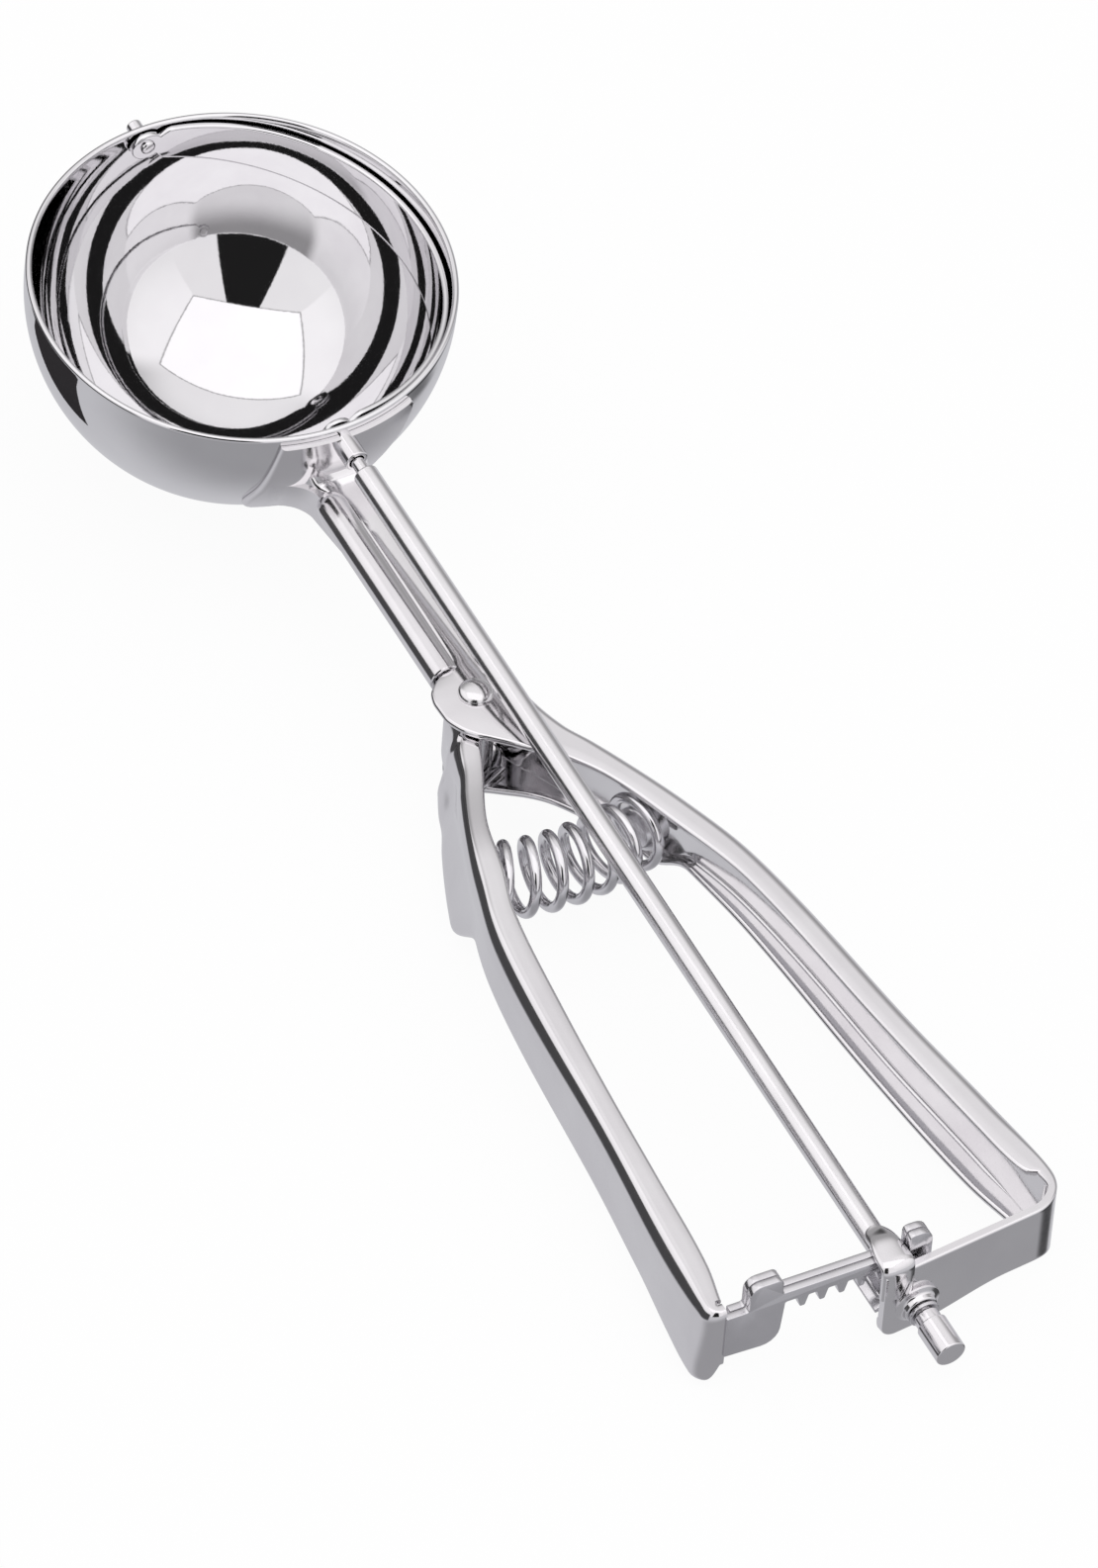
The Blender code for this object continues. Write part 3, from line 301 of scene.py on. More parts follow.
def makeBowl():
    # Up the outside from the bottom, over the rim's half-round lip and down the inside.
    size = bowlSize
    outer, rim, last, count = size["radius"], size["rim"], size["lastAngle"], size["arcSteps"]
    inner, half = outer - size["wall"], size["wall"] / 2
    turn = np.linspace(0, math.pi, 11)[1:-1]
    lip = np.c_[(outer + inner) / 2 + half * np.cos(turn), rim - half + half * np.sin(turn)]
    straight = np.array([0.2, 0.4, 0.6, 0.8, 1.0]) * (rim - half)
    profile = np.r_[
        [(0, -outer)], sphereArc(outer, last, 0, count), np.c_[np.full(5, outer), straight],
        lip, np.c_[np.full(5, inner), straight[::-1]], sphereArc(inner, 0, last, count),
        [(0, -inner)]]
    addTurned("bowlShell", profile, fromRod, mirror, "frame", ["bowl"], size["steps"], "z")


# Saddle: the neck's end, wrapped on the bowl. It is a patch of a slightly larger sphere,
# between a left and a right edge that are angles round the bowl at each height.

saddleSize = {"gap": 0.04, "sheet": 0.95, "top": 1.5, "bottom": -14.6, "columns": 60,
              "edgeShare": 1 / 30, "edgeRound": 0.8,
              "left": [(-14.6, -23.5), (-14.0, -25.0), (-8, -21.5), (1.5, -17.5)],
              "right": [(-14.6, 9.0), (-13.6, 11.5), (-10, 13.5), (-7, 17.0), (-3, 21.5),
                        (0.4, 23.2), (1.5, 22.0)]}


def makeSaddle():
    size = saddleSize
    height = np.r_[[size["top"]], np.linspace(size["top"] - 0.15, size["bottom"], 46)]
    columns = size["columns"]
    share = np.linspace(0, 1, columns)
    low, high = smoothCurve(size["left"], height), smoothCurve(size["right"], height)
    angle = np.radians(partWay(low[:, None], high[:, None], share))
    angle = np.concatenate([angle, angle[:, ::-1]], axis=1)
    edge = np.minimum(1, np.minimum(share, share[::-1]) / size["edgeShare"])
    lift = size["sheet"] * np.sqrt(1 - (1 - edge) ** 2 * size["edgeRound"])
    radius = bowlSize["radius"] + size["gap"] + np.r_[lift, np.zeros(columns)]
    across = np.sqrt(radius ** 2 - np.minimum(height, 0)[:, None] ** 2)
    rings = np.stack([across * np.sin(angle), -across * np.cos(angle),
                      np.repeat(height[:, None], 2 * columns, axis=1)], axis=-1)
    addLoft("bowlSaddle", fromRod(rings), sheet, "frame", ["bowl_saddle"], 50)


# Web: below the bead the saddle leaves the bowl in a wide fillet and runs on as the neck's
# left side. In plan it is the bowl's circle, an arc and a straight line, at every height.

webSize = {"side": -4.35, "fillet": 4.6, "sheet": 0.9, "start": -19.0, "run": 13.0,
           "onBowl": 0.2, "onArc": 0.4,
           "top": [(0, -6.2), (0.3, -7.3), (1, -6.2)],
           "bottom": [(0, -14.4), (0.25, -14.3), (0.45, -13.6), (0.7, -12.0), (1, -9.6)]}


def webFace(offset, height):
    # The web's face, moved inwards by offset, at one height for each share of its run.
    size = webSize
    level = bowlSize["radius"] + saddleSize["gap"] + saddleSize["sheet"] - offset
    radius = np.sqrt(level ** 2 - height ** 2)
    bend, side = size["fillet"] + offset, size["side"] + offset
    centreX = side - bend
    centreY = -np.sqrt((radius + bend) ** 2 - centreX ** 2)
    meet = np.arcsin(centreX / (radius + bend))
    t = np.linspace(0, 1, height.shape[-1])
    first, second = size["onBowl"], size["onArc"]
    begin = np.radians(size["start"])
    angle = partWay(begin, meet, np.clip(t / first, 0, 1))
    onBowl = np.stack([radius * np.sin(angle), -radius * np.cos(angle)], axis=-1)
    sweep = (math.pi / 2 + meet) * (1 - np.clip((t - first) / second, 0, 1))
    onArc = np.stack([centreX + bend * np.cos(sweep), centreY + bend * np.sin(sweep)], axis=-1)
    run = size["run"] * np.clip((t - first - second) / (1 - first - second), 0, 1)
    onSide = np.stack([np.broadcast_to(side, centreY.shape), centreY - run], axis=-1)
    share = np.broadcast_to(t, height.shape)[..., None]
    plan = np.where(share < first, onBowl, np.where(share < first + second, onArc, onSide))
    return np.concatenate([plan, height[..., None]], axis=-1)


def makeWeb():
    # Outside and inside faces from the top edge to the bottom one, joined round the bottom.
    t = np.linspace(0, 1, 90)
    top, bottom = smoothCurve(webSize["top"], t), smoothCurve(webSize["bottom"], t)
    share = np.linspace(0, 1, 16)[:, None]
    outside = webFace(0.0, partWay(top, bottom, share))
    inside = webFace(webSize["sheet"], partWay(top, bottom, share[::-1]))
    edge = webFace(webSize["sheet"] / 2, (bottom - 0.25)[None])
    rings = np.r_[outside, edge, inside].transpose(1, 0, 2)
    addLoft("neckWeb", fromRod(rings), sheet, "frame", (), 50)


# Folded sheet: a section with a top flange, a fold, a wall that flares, a fold and a
# bottom flange, inside and outside, with half-round free edges.

def foldedSection(top, bottom, topFlange, bottomFlange, fold, flare, bulge, thickness,
                  stretch=1.0):
    # Arrays, one value a station. Returns rings of (inset from the outer face, height).
    # stretch makes the upper fold deeper than it is wide.
    leastRadius, support = 0.12, 0.08

    def face(offset):
        radius = np.maximum(fold - offset, leastRadius)
        drop = np.maximum(fold * stretch - offset, leastRadius)
        high, low = top - offset, bottom + offset
        turn = np.radians(np.linspace(90, 0, 9))
        share = np.linspace(0.04, 0.96, 14)
        start = offset + radius + support
        upperEnd, lowerEnd = np.minimum(start, topFlange), np.minimum(start, bottomFlange)
        flat = [np.stack([partWay(topFlange, upperEnd, s), high]) for s in (0.0, 0.5, 1.0)]
        upper = [np.stack([offset + radius - radius * math.cos(a),
                           high - drop + drop * math.sin(a)]) for a in turn]
        wall = [np.stack([offset - flare * ease(s, 0.05, 1.0),
                          high - drop + (low - high + radius + drop) * s]) for s in share]
        lower = [np.stack([offset - flare + radius - radius * math.cos(a),
                           low + radius - radius * math.sin(a)]) for a in turn[::-1]]
        under = [np.stack([lowerEnd - flare * (1 - s) + (bottomFlange - lowerEnd) * s, low])
                 for s in (0.0, 0.5, 1.0)]
        return flat + upper + wall + lower + under

    half = thickness / 2

    def edge(flange, middle):
        return [np.stack([flange + bulge * math.sin(a), middle - half * math.cos(a)])
                for a in np.linspace(0, math.pi, 8)[1:-1]]

    ring = (face(0.0) + edge(bottomFlange, bottom + half) + face(thickness)[::-1]
            + edge(topFlange, top - half))
    return np.stack(ring, axis=1).transpose(2, 1, 0)


def cornerArc(radius, length, turn):
    # Places and inward directions in plan, round the corner where a side of length ends.
    outward = np.c_[np.cos(turn), -np.sin(turn)]
    return radius * outward + [handle["halfSpan"] - radius, -length], -outward


def carried(section, outer, along, crossing, crossingIn, side):
    # Each ring is set at its place in plan, down the side and then across the end, and runs
    # inwards from there.
    place = np.r_[np.c_[outer, -along], crossing]
    inward = np.r_[np.tile([-1.0, 0.0], (len(along), 1)), crossingIn]
    flat = place[:, None] + inward[:, None] * section[..., :1]
    return np.concatenate([side * flat[..., :1], flat[..., 1:], section[..., 1:]], axis=-1)


handle = {"sheet": 1.1, "length": 109.0, "halfSpan": 27.0, "fold": 1.7, "tall": 15.4,
          "low": 10.5, "end": 13.2, "step": (25.0, 33.5), "flare": 1.8, "flareEnd": 9.0,
          "dip": 1.4,
          "outer": [(-4.4, 5.5), (5.45, 7.0), (10.2, 8.4), (14.5, 10.6), (20.5, 13.2),
                    (30.0, 16.7), (41.0, 19.8), (52.7, 21.5), (76.0, 23.6), (103.0, 26.7),
                    (109.0, 27.0), (111.5, 27.0)]}


def outerFace(along):
    # Distance of a lever's outer face from the pivot line, the same on both sides.
    return smoothCurve(handle["outer"], along)


def wallFlare(along):
    # The wall's foot stands out past the pivot, and comes back where the lever gets lower.
    grown = ease(along, 0, handle["flareEnd"])
    return handle["flare"] * grown * (1 - ease(along, *handle["step"]))


def leverHeight(along):
    # Tall at the pivot, then a smooth step down to a height that grows steadily to the end.
    past = handle["step"][1]
    slope = (handle["end"] - handle["low"]) / (handle["length"] - past)
    low = np.minimum(handle["low"] + slope * (along - past), handle["tall"])
    return partWay(handle["tall"], low, ease(along, *handle["step"]))


# Fixed side: one pressing from the neck's strip over the pivot's lug and the lever, round
# the corner and on as the strap with its bracket.

fixedSize = {
    "edge": [(-44.6, -1.2), (-43.2, -0.5), (-42.0, 0.7), (-40.6, 1.7), (-38.5, 1.9),
             (-36, 1.8), (-20, 1.2), (-9, 0.55), (-7.6, 0.4), (-6.6, 0.1), (-5.8, -0.8),
             (-5.0, -2.2), (-4.2, -3.5), (-2.6, -4.9), (-0.5, -5.4), (2.0, -5.4),
             (4.6, -4.6), (6.6, -3.2), (8.4, -1.3), (10.0, 0.4), (12.0, 2.3), (15.7, 5.9),
             (20.9, 9.2), (32.2, 13.2), (46.0, 17.0), (76.0, 19.9), (98.0, 22.3),
             (106.0, 23.4), (108.2, 24.2), (109.0, 25.4)],
    "neck": [(-44.6, 7.5), (-40, 7.4), (-28, 7.0), (-9, 6.3), (-4.4, 5.9)],
    "lowerLug": [(-5.2, 1.6), (-4.5, 0.2), (-2.6, -2.3), (0, -3.3), (2.6, -2.2), (5.5, 1.6),
                 (8, 5.0), (10, 7.0), (13, 9.0), (18, 11.6), (24, 13.9), (32, 15.3), (46, 17.4),
                 (76, 19.7), (98, 22.2), (109, 24.6)],
    "start": -44.6, "neckEnd": -4.4, "grow": (-7.5, -4.6), "skirt": 5.5, "skirtFlange": 1.5,
    "neckFold": 1.2, "foldGrow": (4, 20), "filletStart": 41.8, "fillet": 3.0,
    "cornerStart": 96, "cornerFold": 0.75, "corner": 6.3, "sweep": 4.0, "low": -12.9,
    "strap": 1.2, "strapLow": -10.0, "strapDip": 2.0, "dipRun": (9.5, 24),
    "bracketReach": 2.9, "bracketRound": 2.4}


def makeFixedSide():
    size = fixedSize
    along = np.r_[np.linspace(size["start"], -9.2, 50), np.linspace(-9, 16, 100),
                  np.linspace(16.5, handle["length"], 130)]
    outer = np.where(along < size["neckEnd"], smoothCurve(size["neck"], along),
                     outerFace(along))
    grown = ease(along, *size["grow"])
    # Against the bowl the strip rises in a fillet.
    up = np.clip((-along - size["filletStart"]) / size["fillet"], 0, 0.98)
    top = size["fillet"] * (1 - np.sqrt(1 - up * up))
    nearEnd = ease(along, size["cornerStart"], handle["length"])
    bottom = partWay(-size["skirt"], -leverHeight(np.maximum(along, 0)), grown)
    bottom = bottom + (handle["end"] + size["low"]) * nearEnd
    topFlange = outer - smoothCurve(size["edge"], along)
    lower = outer - smoothCurve(size["lowerLug"], along)
    bottomFlange = partWay(size["skirtFlange"], lower, grown)
    # Near the corner the folds tighten, as the walls straighten into the strap.
    fold = partWay(size["neckFold"], handle["fold"], ease(along, *size["foldGrow"]))
    fold = fold + (size["cornerFold"] - handle["fold"]) * nearEnd

    # The corner is a quarter circle, then the strap leans back a little as it crosses.
    radius, sweep = size["corner"], math.radians(size["sweep"])
    turn = np.linspace(0, math.pi / 2 - sweep, 26)[1:]
    bend, bendIn = cornerArc(radius, handle["length"], turn)
    reach = handle["halfSpan"] - radius + size["bracketReach"]
    run = np.r_[np.linspace(0.01, 0.9, 40), 1 - 0.1 * np.linspace(0.97, 0, 16) ** 2]
    strap = bend[-1] - reach * run[:, None] * np.array([1.0, math.tan(sweep)])
    strapIn = np.tile([-math.sin(sweep), math.cos(sweep)], (len(run), 1))
    crossing = np.r_[bend, strap]
    done = np.r_[np.linspace(0, 1, len(turn) + 1)[1:], np.ones(len(run))]
    across = crossing[:, 0]
    low = partWay(size["low"], size["strapLow"], ease(done, 0, 1))
    low = low - size["strapDip"] * ease(handle["halfSpan"] - across, *size["dipRun"])
    curl = size["bracketRound"]
    left = across - across.min()
    low = low + curl - np.sqrt(np.maximum(curl ** 2 - np.maximum(curl - left, 0) ** 2, 0))
    join, zero, bulge = ease(done, 0, 0.45), np.zeros(len(done)), handle["sheet"] / 2
    section = foldedSection(
        np.r_[top, zero], np.r_[bottom, low],
        np.r_[topFlange, partWay(topFlange[-1], size["strap"], join)],
        np.r_[bottomFlange, partWay(bottomFlange[-1], size["strap"], join)],
        np.r_[fold, size["cornerFold"] - 0.4 * join], np.r_[wallFlare(along) * grown, zero],
        np.r_[np.full(len(along), bulge), bulge - 0.45 * join], handle["sheet"])
    rings = carried(section, outer, along, crossing, np.r_[bendIn, strapIn], 1)
    addLoft("neckLeverAndStrap", fromLever(rings), lever, "frame",
            ["neck_shank", "fixed_lever", "end_strap"])


# Bead: the neck's rolled edge, a tube that is open at the pivot and drawn shut at the bowl

beadSize = {"start": 5.3, "end": 42.9, "radius": 2.3, "wall": 0.6, "x": (-1.6, -0.15),
            "z": (-1.6, -1.2), "nose": 3.0, "shut": 13.0}


def makeBead():
    # A circle carried along a straight axis, with a rounded nose, and turned in at the mouth.
    size = beadSize
    start, end, nose, outer = size["start"], size["end"], size["nose"], size["radius"]
    bore = outer - size["wall"]
    turn = fullTurn(64)
    swing = np.linspace(0.04, math.pi / 2 * 0.985, 18)[::-1]
    straight = np.linspace(start + 0.2, end - nose, 60)[::-1]
    mouth = np.array([(start + 0.05, outer - 0.12), (start, outer - 0.4),
                      (start + 0.05, bore + 0.15), (start + 0.3, bore),
                      (size["shut"], bore), (size["shut"] + 0.5, 0.05)])
    place = np.r_[end - nose + nose * np.sin(swing), straight, mouth[:, 0]]
    radius = np.r_[outer * np.cos(swing), np.full(len(straight), outer), mouth[:, 1]]
    share = (place - start) / (end - start)
    x, z = partWay(*size["x"], share), partWay(*size["z"], share)
    rings = np.stack([x[:, None] + radius[:, None] * np.cos(turn),
                      np.repeat(place[:, None], 64, axis=1),
                      z[:, None] + radius[:, None] * np.sin(turn)], axis=-1)
    addLoft("neckBead", fromLever(rings), sheet, "frame")


# Moving side: lugs round the pivot inside the fixed ones, the lever, and its corner

movingSize = {"nose": 4.1, "noseRun": (-1.8, 5), "fold": 2.6, "stretch": 1.9, "corner": 2.5,
              "length": 110.3, "cornerRun": 0.5, "dipRun": (9, 27), "endFlare": 0.8,
              "endFlareStart": 92, "cornerRise": 3.2, "cornerFlange": 1.5, "cornerFold": 0.8,
              "edge": [(3.2, -3.3), (4.6, -0.4), (6.0, 2.4), (8.0, 3.9), (10.2, 4.9),
                       (22.2, 10.6), (30, 12.6), (37.1, 14.9), (54.6, 17.5), (72.9, 19.6),
                       (87.4, 21.0), (104.0, 22.7), (110.3, 24.2)]}


def makeMovingSide():
    # As the fixed side, from a round nose at the pivot to a corner at its end.
    size = movingSize
    nose = size["nose"]
    along = np.r_[-nose * np.cos(np.linspace(0.12, math.pi / 2, 24)),
                  np.linspace(0.3, 20, 60), np.linspace(20.6, size["length"], 130)]
    ringReach = np.sqrt(np.maximum(nose ** 2 - along ** 2, 0.09))
    outer = partWay(ringReach, outerFace(along), ease(along, *size["noseRun"]))
    edge = np.where(along < size["edge"][0][0], -ringReach, smoothCurve(size["edge"], along))
    lowered = handle["dip"] * (1 - ease(along, *size["dipRun"]))
    bottom = -leverHeight(np.maximum(along, 0)) + lowered
    flange = outer - edge
    fold = np.minimum(size["fold"], 0.5 * flange)
    flare = wallFlare(along) + size["endFlare"] * ease(along, size["endFlareStart"],
                                                       size["length"])
    turn = np.linspace(0, math.pi / 2, 20)[1:]
    bend, bendIn = cornerArc(size["corner"], size["length"], turn)
    crossing = np.r_[bend, bend[-1:] - [[size["cornerRun"], 0.0]]]
    done = np.r_[turn / turn[-1], 1.0]
    join = ease(done, 0, 1)
    low = bottom[-1] + size["cornerRise"] * ease(done, 0.35, 1.15) ** 2
    flanges = np.r_[flange, partWay(flange[-1], size["cornerFlange"], join)]
    section = foldedSection(
        np.r_[-lowered, np.zeros(len(done))], np.r_[bottom, low], flanges, flanges,
        np.r_[fold, partWay(fold[-1], size["cornerFold"], join)],
        np.r_[flare, flare[-1] * (1 - join)], np.full(len(flanges), handle["sheet"] / 2),
        handle["sheet"], size["stretch"])
    rings = carried(section, outer, along, crossing, np.r_[bendIn, [[0.0, 1.0]]], -1)
    addLoft("movingLeverAndCorner", fromLever(rings), lever, "squeeze_lever",
            ["moving_lever", "moving_end_plate"])


# Hood: the tongue folded back from the strap over the rack

hoodSize = {"front": -117.15, "foot": -4.5, "top": 1.95, "bend": 1.8, "length": 8.8,
            "half": (2.45, 1.95), "middle": (-0.35, 0.1), "thickness": 1.1, "tip": 2.6,
            "crown": 0.35, "drop": 1.1}


def makeHood():
    # A section carried up the strap, round a bend and on to a round tip.
    size = hoodSize
    front, top, bend = size["front"], size["top"], size["bend"]
    turn = np.radians(np.linspace(180, 90, 14))
    tipStart = size["length"] - size["tip"]
    flat = np.r_[np.linspace(bend, tipStart, 14)[1:],
                 tipStart + size["tip"] * np.sin(np.linspace(0.1, 1.52, 14))]
    along = np.r_[[0, 0, 0], bend + bend * np.cos(turn), flat]
    up = np.r_[[size["foot"], -2.5, top - bend - 0.2], top - bend + bend * np.sin(turn),
               np.full(len(flat), top)]
    up = up - size["drop"] * ease(along, 4.0, size["length"]) ** 1.5
    lean = unit(np.gradient(np.c_[along, up], axis=0))
    past = np.clip((along - tipStart) / size["tip"], 0, 0.999)
    half = partWay(*size["half"], ease(along, 2.0, 7.0))
    half = half * (1 - past ** 2.6) ** (1 / 2.6)
    middle = partWay(*size["middle"], ease(along, 2, 8))
    # Each section is a flattened oval, squarer at its sides, and lower towards them.
    turn = fullTurn(64)
    across = np.sign(np.cos(turn)) * np.abs(np.cos(turn)) ** 0.5 * half[:, None]
    depth = np.sign(np.sin(turn)) * np.abs(np.sin(turn)) ** 0.6 * size["thickness"] / 2
    depth = depth - size["crown"] * (across / size["half"][0]) ** 2 - size["thickness"] / 2
    rings = np.stack([middle[:, None] + across, front + along[:, None] - lean[:, 1:] * depth,
                      up[:, None] + lean[:, :1] * depth], axis=-1)
    addLoft("strapHood", fromLever(rings), lever, "frame", (), 60)


# Rack leaves and pinion: flat outlines with softened edges

rack = {"front": 114.317, "sweep": 2.5, "leaf": 1.15, "top": 0.5, "rise": 2.8, "module": 0.92,
        "addendum": 0.75, "dedendum": 1.05, "teeth": 7, "pinionTeeth": 10, "pinion": 6.0,
        "rightTab": 2.3, "rightWidth": 3.5, "leftTab": -16.17, "leftWidth": 4.9,
        "left": -24.3, "plate": 8.4, "shelf": -1.0, "soft": 0.14}
rack["pitch"] = math.pi * rack["module"]
rack["pitchRadius"] = rack["pinionTeeth"] * rack["module"] / 2
rack["tip"] = rodHeight(rack["front"] - rack["leaf"]) + rack["pitchRadius"] - rack["addendum"]
rack["root"] = rack["tip"] + rack["addendum"] + rack["dedendum"]


def leafOutline(hasPlate):
    # Places across from the pivot line and heights, from the right stop round by the teeth.
    right, left, pitch = rack["rightTab"], rack["leftTab"], rack["pitch"]
    shelf, outerRight = left - rack["leftWidth"], right + rack["rightWidth"]
    top, root, tip = rack["top"], rack["root"], rack["tip"]
    high = top + rack["rise"]
    corners = [(right, top), (right, high), (outerRight, high), (outerRight, root)]
    radii = [0.3, 0.8, 1.7, 0.3]
    for index in range(rack["teeth"]):
        centre = rodX + (0.5 - index) * pitch
        corners += [(centre + 0.30 * pitch, root), (centre + 0.13 * pitch, tip),
                    (centre - 0.13 * pitch, tip), (centre - 0.30 * pitch, root)]
        radii += [0.25, 0.28, 0.28, 0.25]
    last = rodX + (0.5 - rack["teeth"]) * pitch
    if hasPlate:
        corners += [(last + 0.29, root), (last - 0.35, -rack["plate"] - 0.35),
                    (rack["left"], -rack["plate"]), (rack["left"], rack["shelf"])]
        radii += [0.3, 2.6, 0.2, 0.2]
    else:
        corners += [(last + 0.29, root), (last - 0.55, tip - 0.4),
                    (rack["left"] + 1.0, tip - 0.6),
                    (rack["left"] + 1.0, rack["shelf"])]
        radii += [0.2, 0.8, 0.2, 0.2]
    corners += [(shelf, rack["shelf"]), (shelf, high), (left, high), (left, top)]
    radii += [0.4, 1.7, 0.9, 0.3]
    return loopCorners(corners, radii)


def addPlate(name, outline, thickness, place, finish, body, replaced):
    # Six copies of the outline through the plate, the end ones drawn in to round its edges.
    tangent = unit(np.roll(outline, -1, axis=0) - np.roll(outline, 1, axis=0))
    x, y = outline.T
    clockwise = np.sum(x * np.roll(y, -1) - np.roll(x, -1) * y) < 0
    outward = np.c_[-tangent[:, 1], tangent[:, 0]] * (1 if clockwise else -1)
    soft = rack["soft"]
    inset = np.array([1, 0.3, 0, 0, 0.3, 1]) * soft
    depth = np.array([0, 0.3 * soft, soft, thickness - soft, thickness - 0.3 * soft, thickness])
    flat = outline - outward * inset[:, None, None]
    rings = place(flat[..., 0], np.repeat(depth[:, None], len(outline), axis=1), flat[..., 1])
    addLoft(name, rings, finish, body, replaced, 30)


def makeLeaves():
    sweep = math.radians(rack["sweep"])
    for name, setback, hasPlate, node in (("rackFrontLeaf", 0.0, True, "rack_front_leaf"),
                                          ("rackRearLeaf", 1.25, False, "rack_rear_leaf")):
        def place(across, depth, height):
            run, back = across - rodX, depth + setback
            return fromLever(np.stack([rodX + run * math.cos(sweep) + back * math.sin(sweep),
                                       -rack["front"] - run * math.sin(sweep)
                                       + back * math.cos(sweep), height], axis=-1))

        addPlate(name, leafOutline(hasPlate), rack["leaf"], place, cut, "squeeze_lever", [node])


def makePinion():
    low, high = (np.array(corner) * 1000 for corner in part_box("pinion"))
    start = (((low + high) / 2 - bowlCentre) @ rodAxes.T)[1] - rack["pinion"] / 2
    root, tip = rack["pitchRadius"] - rack["dedendum"], rack["pitchRadius"] + rack["addendum"]
    step = 2 * math.pi / rack["pinionTeeth"]
    share = np.array([-0.29, -0.12, 0.12, 0.29])
    angle = (math.pi / 2 + (np.arange(rack["pinionTeeth"])[:, None] + share) * step).ravel()
    radius = np.tile([root, tip, tip, root], rack["pinionTeeth"])

    def place(across, depth, height):
        return fromRod(np.stack([across, start + depth, height], axis=-1))

    outline = loopCorners(np.c_[radius * np.cos(angle), radius * np.sin(angle)],
                          np.full(len(angle), 0.22), 5)
    addPlate("rodPinion", outline, rack["pinion"], place, cut, "drive", ["pinion"])


# Rod and its fittings, all turned about the rod's axis; places are along the rod frame's Y

rodSize = {"radius": 1.75, "start": -36.5, "shaft": 0.95, "spindle": 1.2, "strap": 116.867,
           "head": 1.3, "headIn": -27.35, "headOut": -27.75, "strapSheet": 1.2,
           "pinionGap": 0.92, "play": 0.3, "pastStrap": 7.4}


def makeRod():
    size = rodSize
    front = -rodDistance(size["strap"])
    step = front + size["strapSheet"] + size["pinionGap"] + rack["pinion"] + size["play"]
    end = front - size["pastStrap"]
    profile = roundCorners([(0, size["headIn"]), (size["head"], size["headIn"] - 0.02),
                            (size["head"], size["headOut"]), (size["shaft"], size["headOut"]),
                            (size["shaft"], size["start"]), (size["radius"], size["start"]),
                            (size["radius"], step), (size["spindle"], step),
                            (size["spindle"], end), (0, end)],
                           [0.25, 0.05, 0.05, 0.05, 0.35, 0.2, 0.05, 0.05])
    addTurned("driveRod", profile, fromRod, satin, "drive", ["drive_rod"])


# A fitting's node, body, finish, whether its places count from the strap's face, the
# rounding of its corners and its (radius, place) pairs.
fittings = {
    "rodBush": ("near_bush", "frame", lever, False, [0.2, 0.25, 0.05], [
        (1.15, -29.1), (1.7, -29.1), (1.7, -34.2), (1.15, -34.2), (1.15, -29.1)]),
    "strapCollar": ("strap_bush", "frame", lever, True, [0.05, 0.05, 0.5, 0.35, 0.1], [
        (1.4, 1.5), (3.3, 0.3), (3.3, 0.0), (2.5, -0.3), (2.3, -1.2), (1.4, -1.2), (1.4, 1.5)]),
    "retainingRing": ("retaining_ring", "drive", cut, True, [0.12, 0.12, 0.05], [
        (1.4, -1.5), (2.2, -1.5), (2.2, -2.0), (1.4, -2.0), (1.4, -1.5)]),
    "endCap": ("end_cap", "drive", lever, True, [0.1, 0.05, 0.15, 0.22, 0.3], [
        (0, -2.3), (1.8, -2.3), (1.8, -3.8), (2.15, -3.8), (2.15, -9.1), (1.7, -9.1),
        (0, -9.02)]),
    "farPin": ("far_pin", "frame", lever, False, [0.2, 0.45], [
        (0, 32.4), (1.1, 32.4), (1.1, 27.5), (0, 27.4)])}


def makeFittings():
    front = -rodDistance(rodSize["strap"])
    for name, (node, body, finish, atStrap, rounding, pairs) in fittings.items():
        profile = roundCorners(np.array(pairs) + [0.0, front * atStrap], rounding)
        addTurned(name, profile, fromRod, finish, body, [node])


# Blade: a band on the sphere just inside the bowl, from pin to pin. A point has an angle
# round the band and a distance to either side of its middle, both on the sphere.

bladeSize = {"outer": 28.78, "thickness": 0.78, "rest": 9.0, "lobe": 2.45, "half": (2.3, 1.9)}


def makeBlade():
    size = bladeSize
    outer, rest, edge = size["outer"], math.radians(size["rest"]), size["thickness"] / 2
    out = np.array([math.cos(rest), 0, -math.sin(rest)])
    across = np.array([math.sin(rest), 0, math.cos(rest)])
    lobe = math.degrees(size["lobe"] / outer)
    tip = 90 + lobe * np.cos(np.linspace(0.02, math.pi / 2, 16))
    turn = np.r_[-tip, np.linspace(-89.5, 89.5, 180), tip[::-1]]
    past = (np.abs(turn) - 90) / lobe
    roundEnd = size["lobe"] * np.sqrt(np.clip(1 - past ** 2, 0, 1)) * (past > -1)
    band = size["half"][0] + size["half"][1] * np.sqrt(np.cos(np.radians(np.minimum(
        np.abs(turn), 90))))
    half = np.maximum(np.maximum(roundEnd, band * ease(-past, -0.15, 1.4)), 0.25)
    flat = half[:, None] - edge * 0.5
    bend = np.linspace(math.pi / 2, -math.pi / 2, 9)[1:-1]
    side = np.linspace(-1, 1, 31)
    distance = np.concatenate([flat * side, flat + edge * 0.5 * np.cos(bend), flat * side[::-1],
                               -flat - edge * 0.5 * np.cos(bend)], axis=1)
    level = np.r_[np.full(31, outer), outer - edge + edge * np.sin(bend),
                  np.full(31, outer - 2 * edge),
                  outer - edge - edge * np.sin(bend)][None, :, None]
    angle, lean = np.radians(turn)[:, None, None], (distance / outer)[..., None]
    rings = (level * np.cos(lean) * (np.cos(angle) * out + np.sin(angle) * np.array([0, 1.0, 0]))
             + level * np.sin(lean) * across)
    addLoft("scraperBlade", fromRod(rings), mirror, "drive", ["scraper_blade"])


# Pivot: a domed rivet through the lugs and the sleeve that keeps them apart

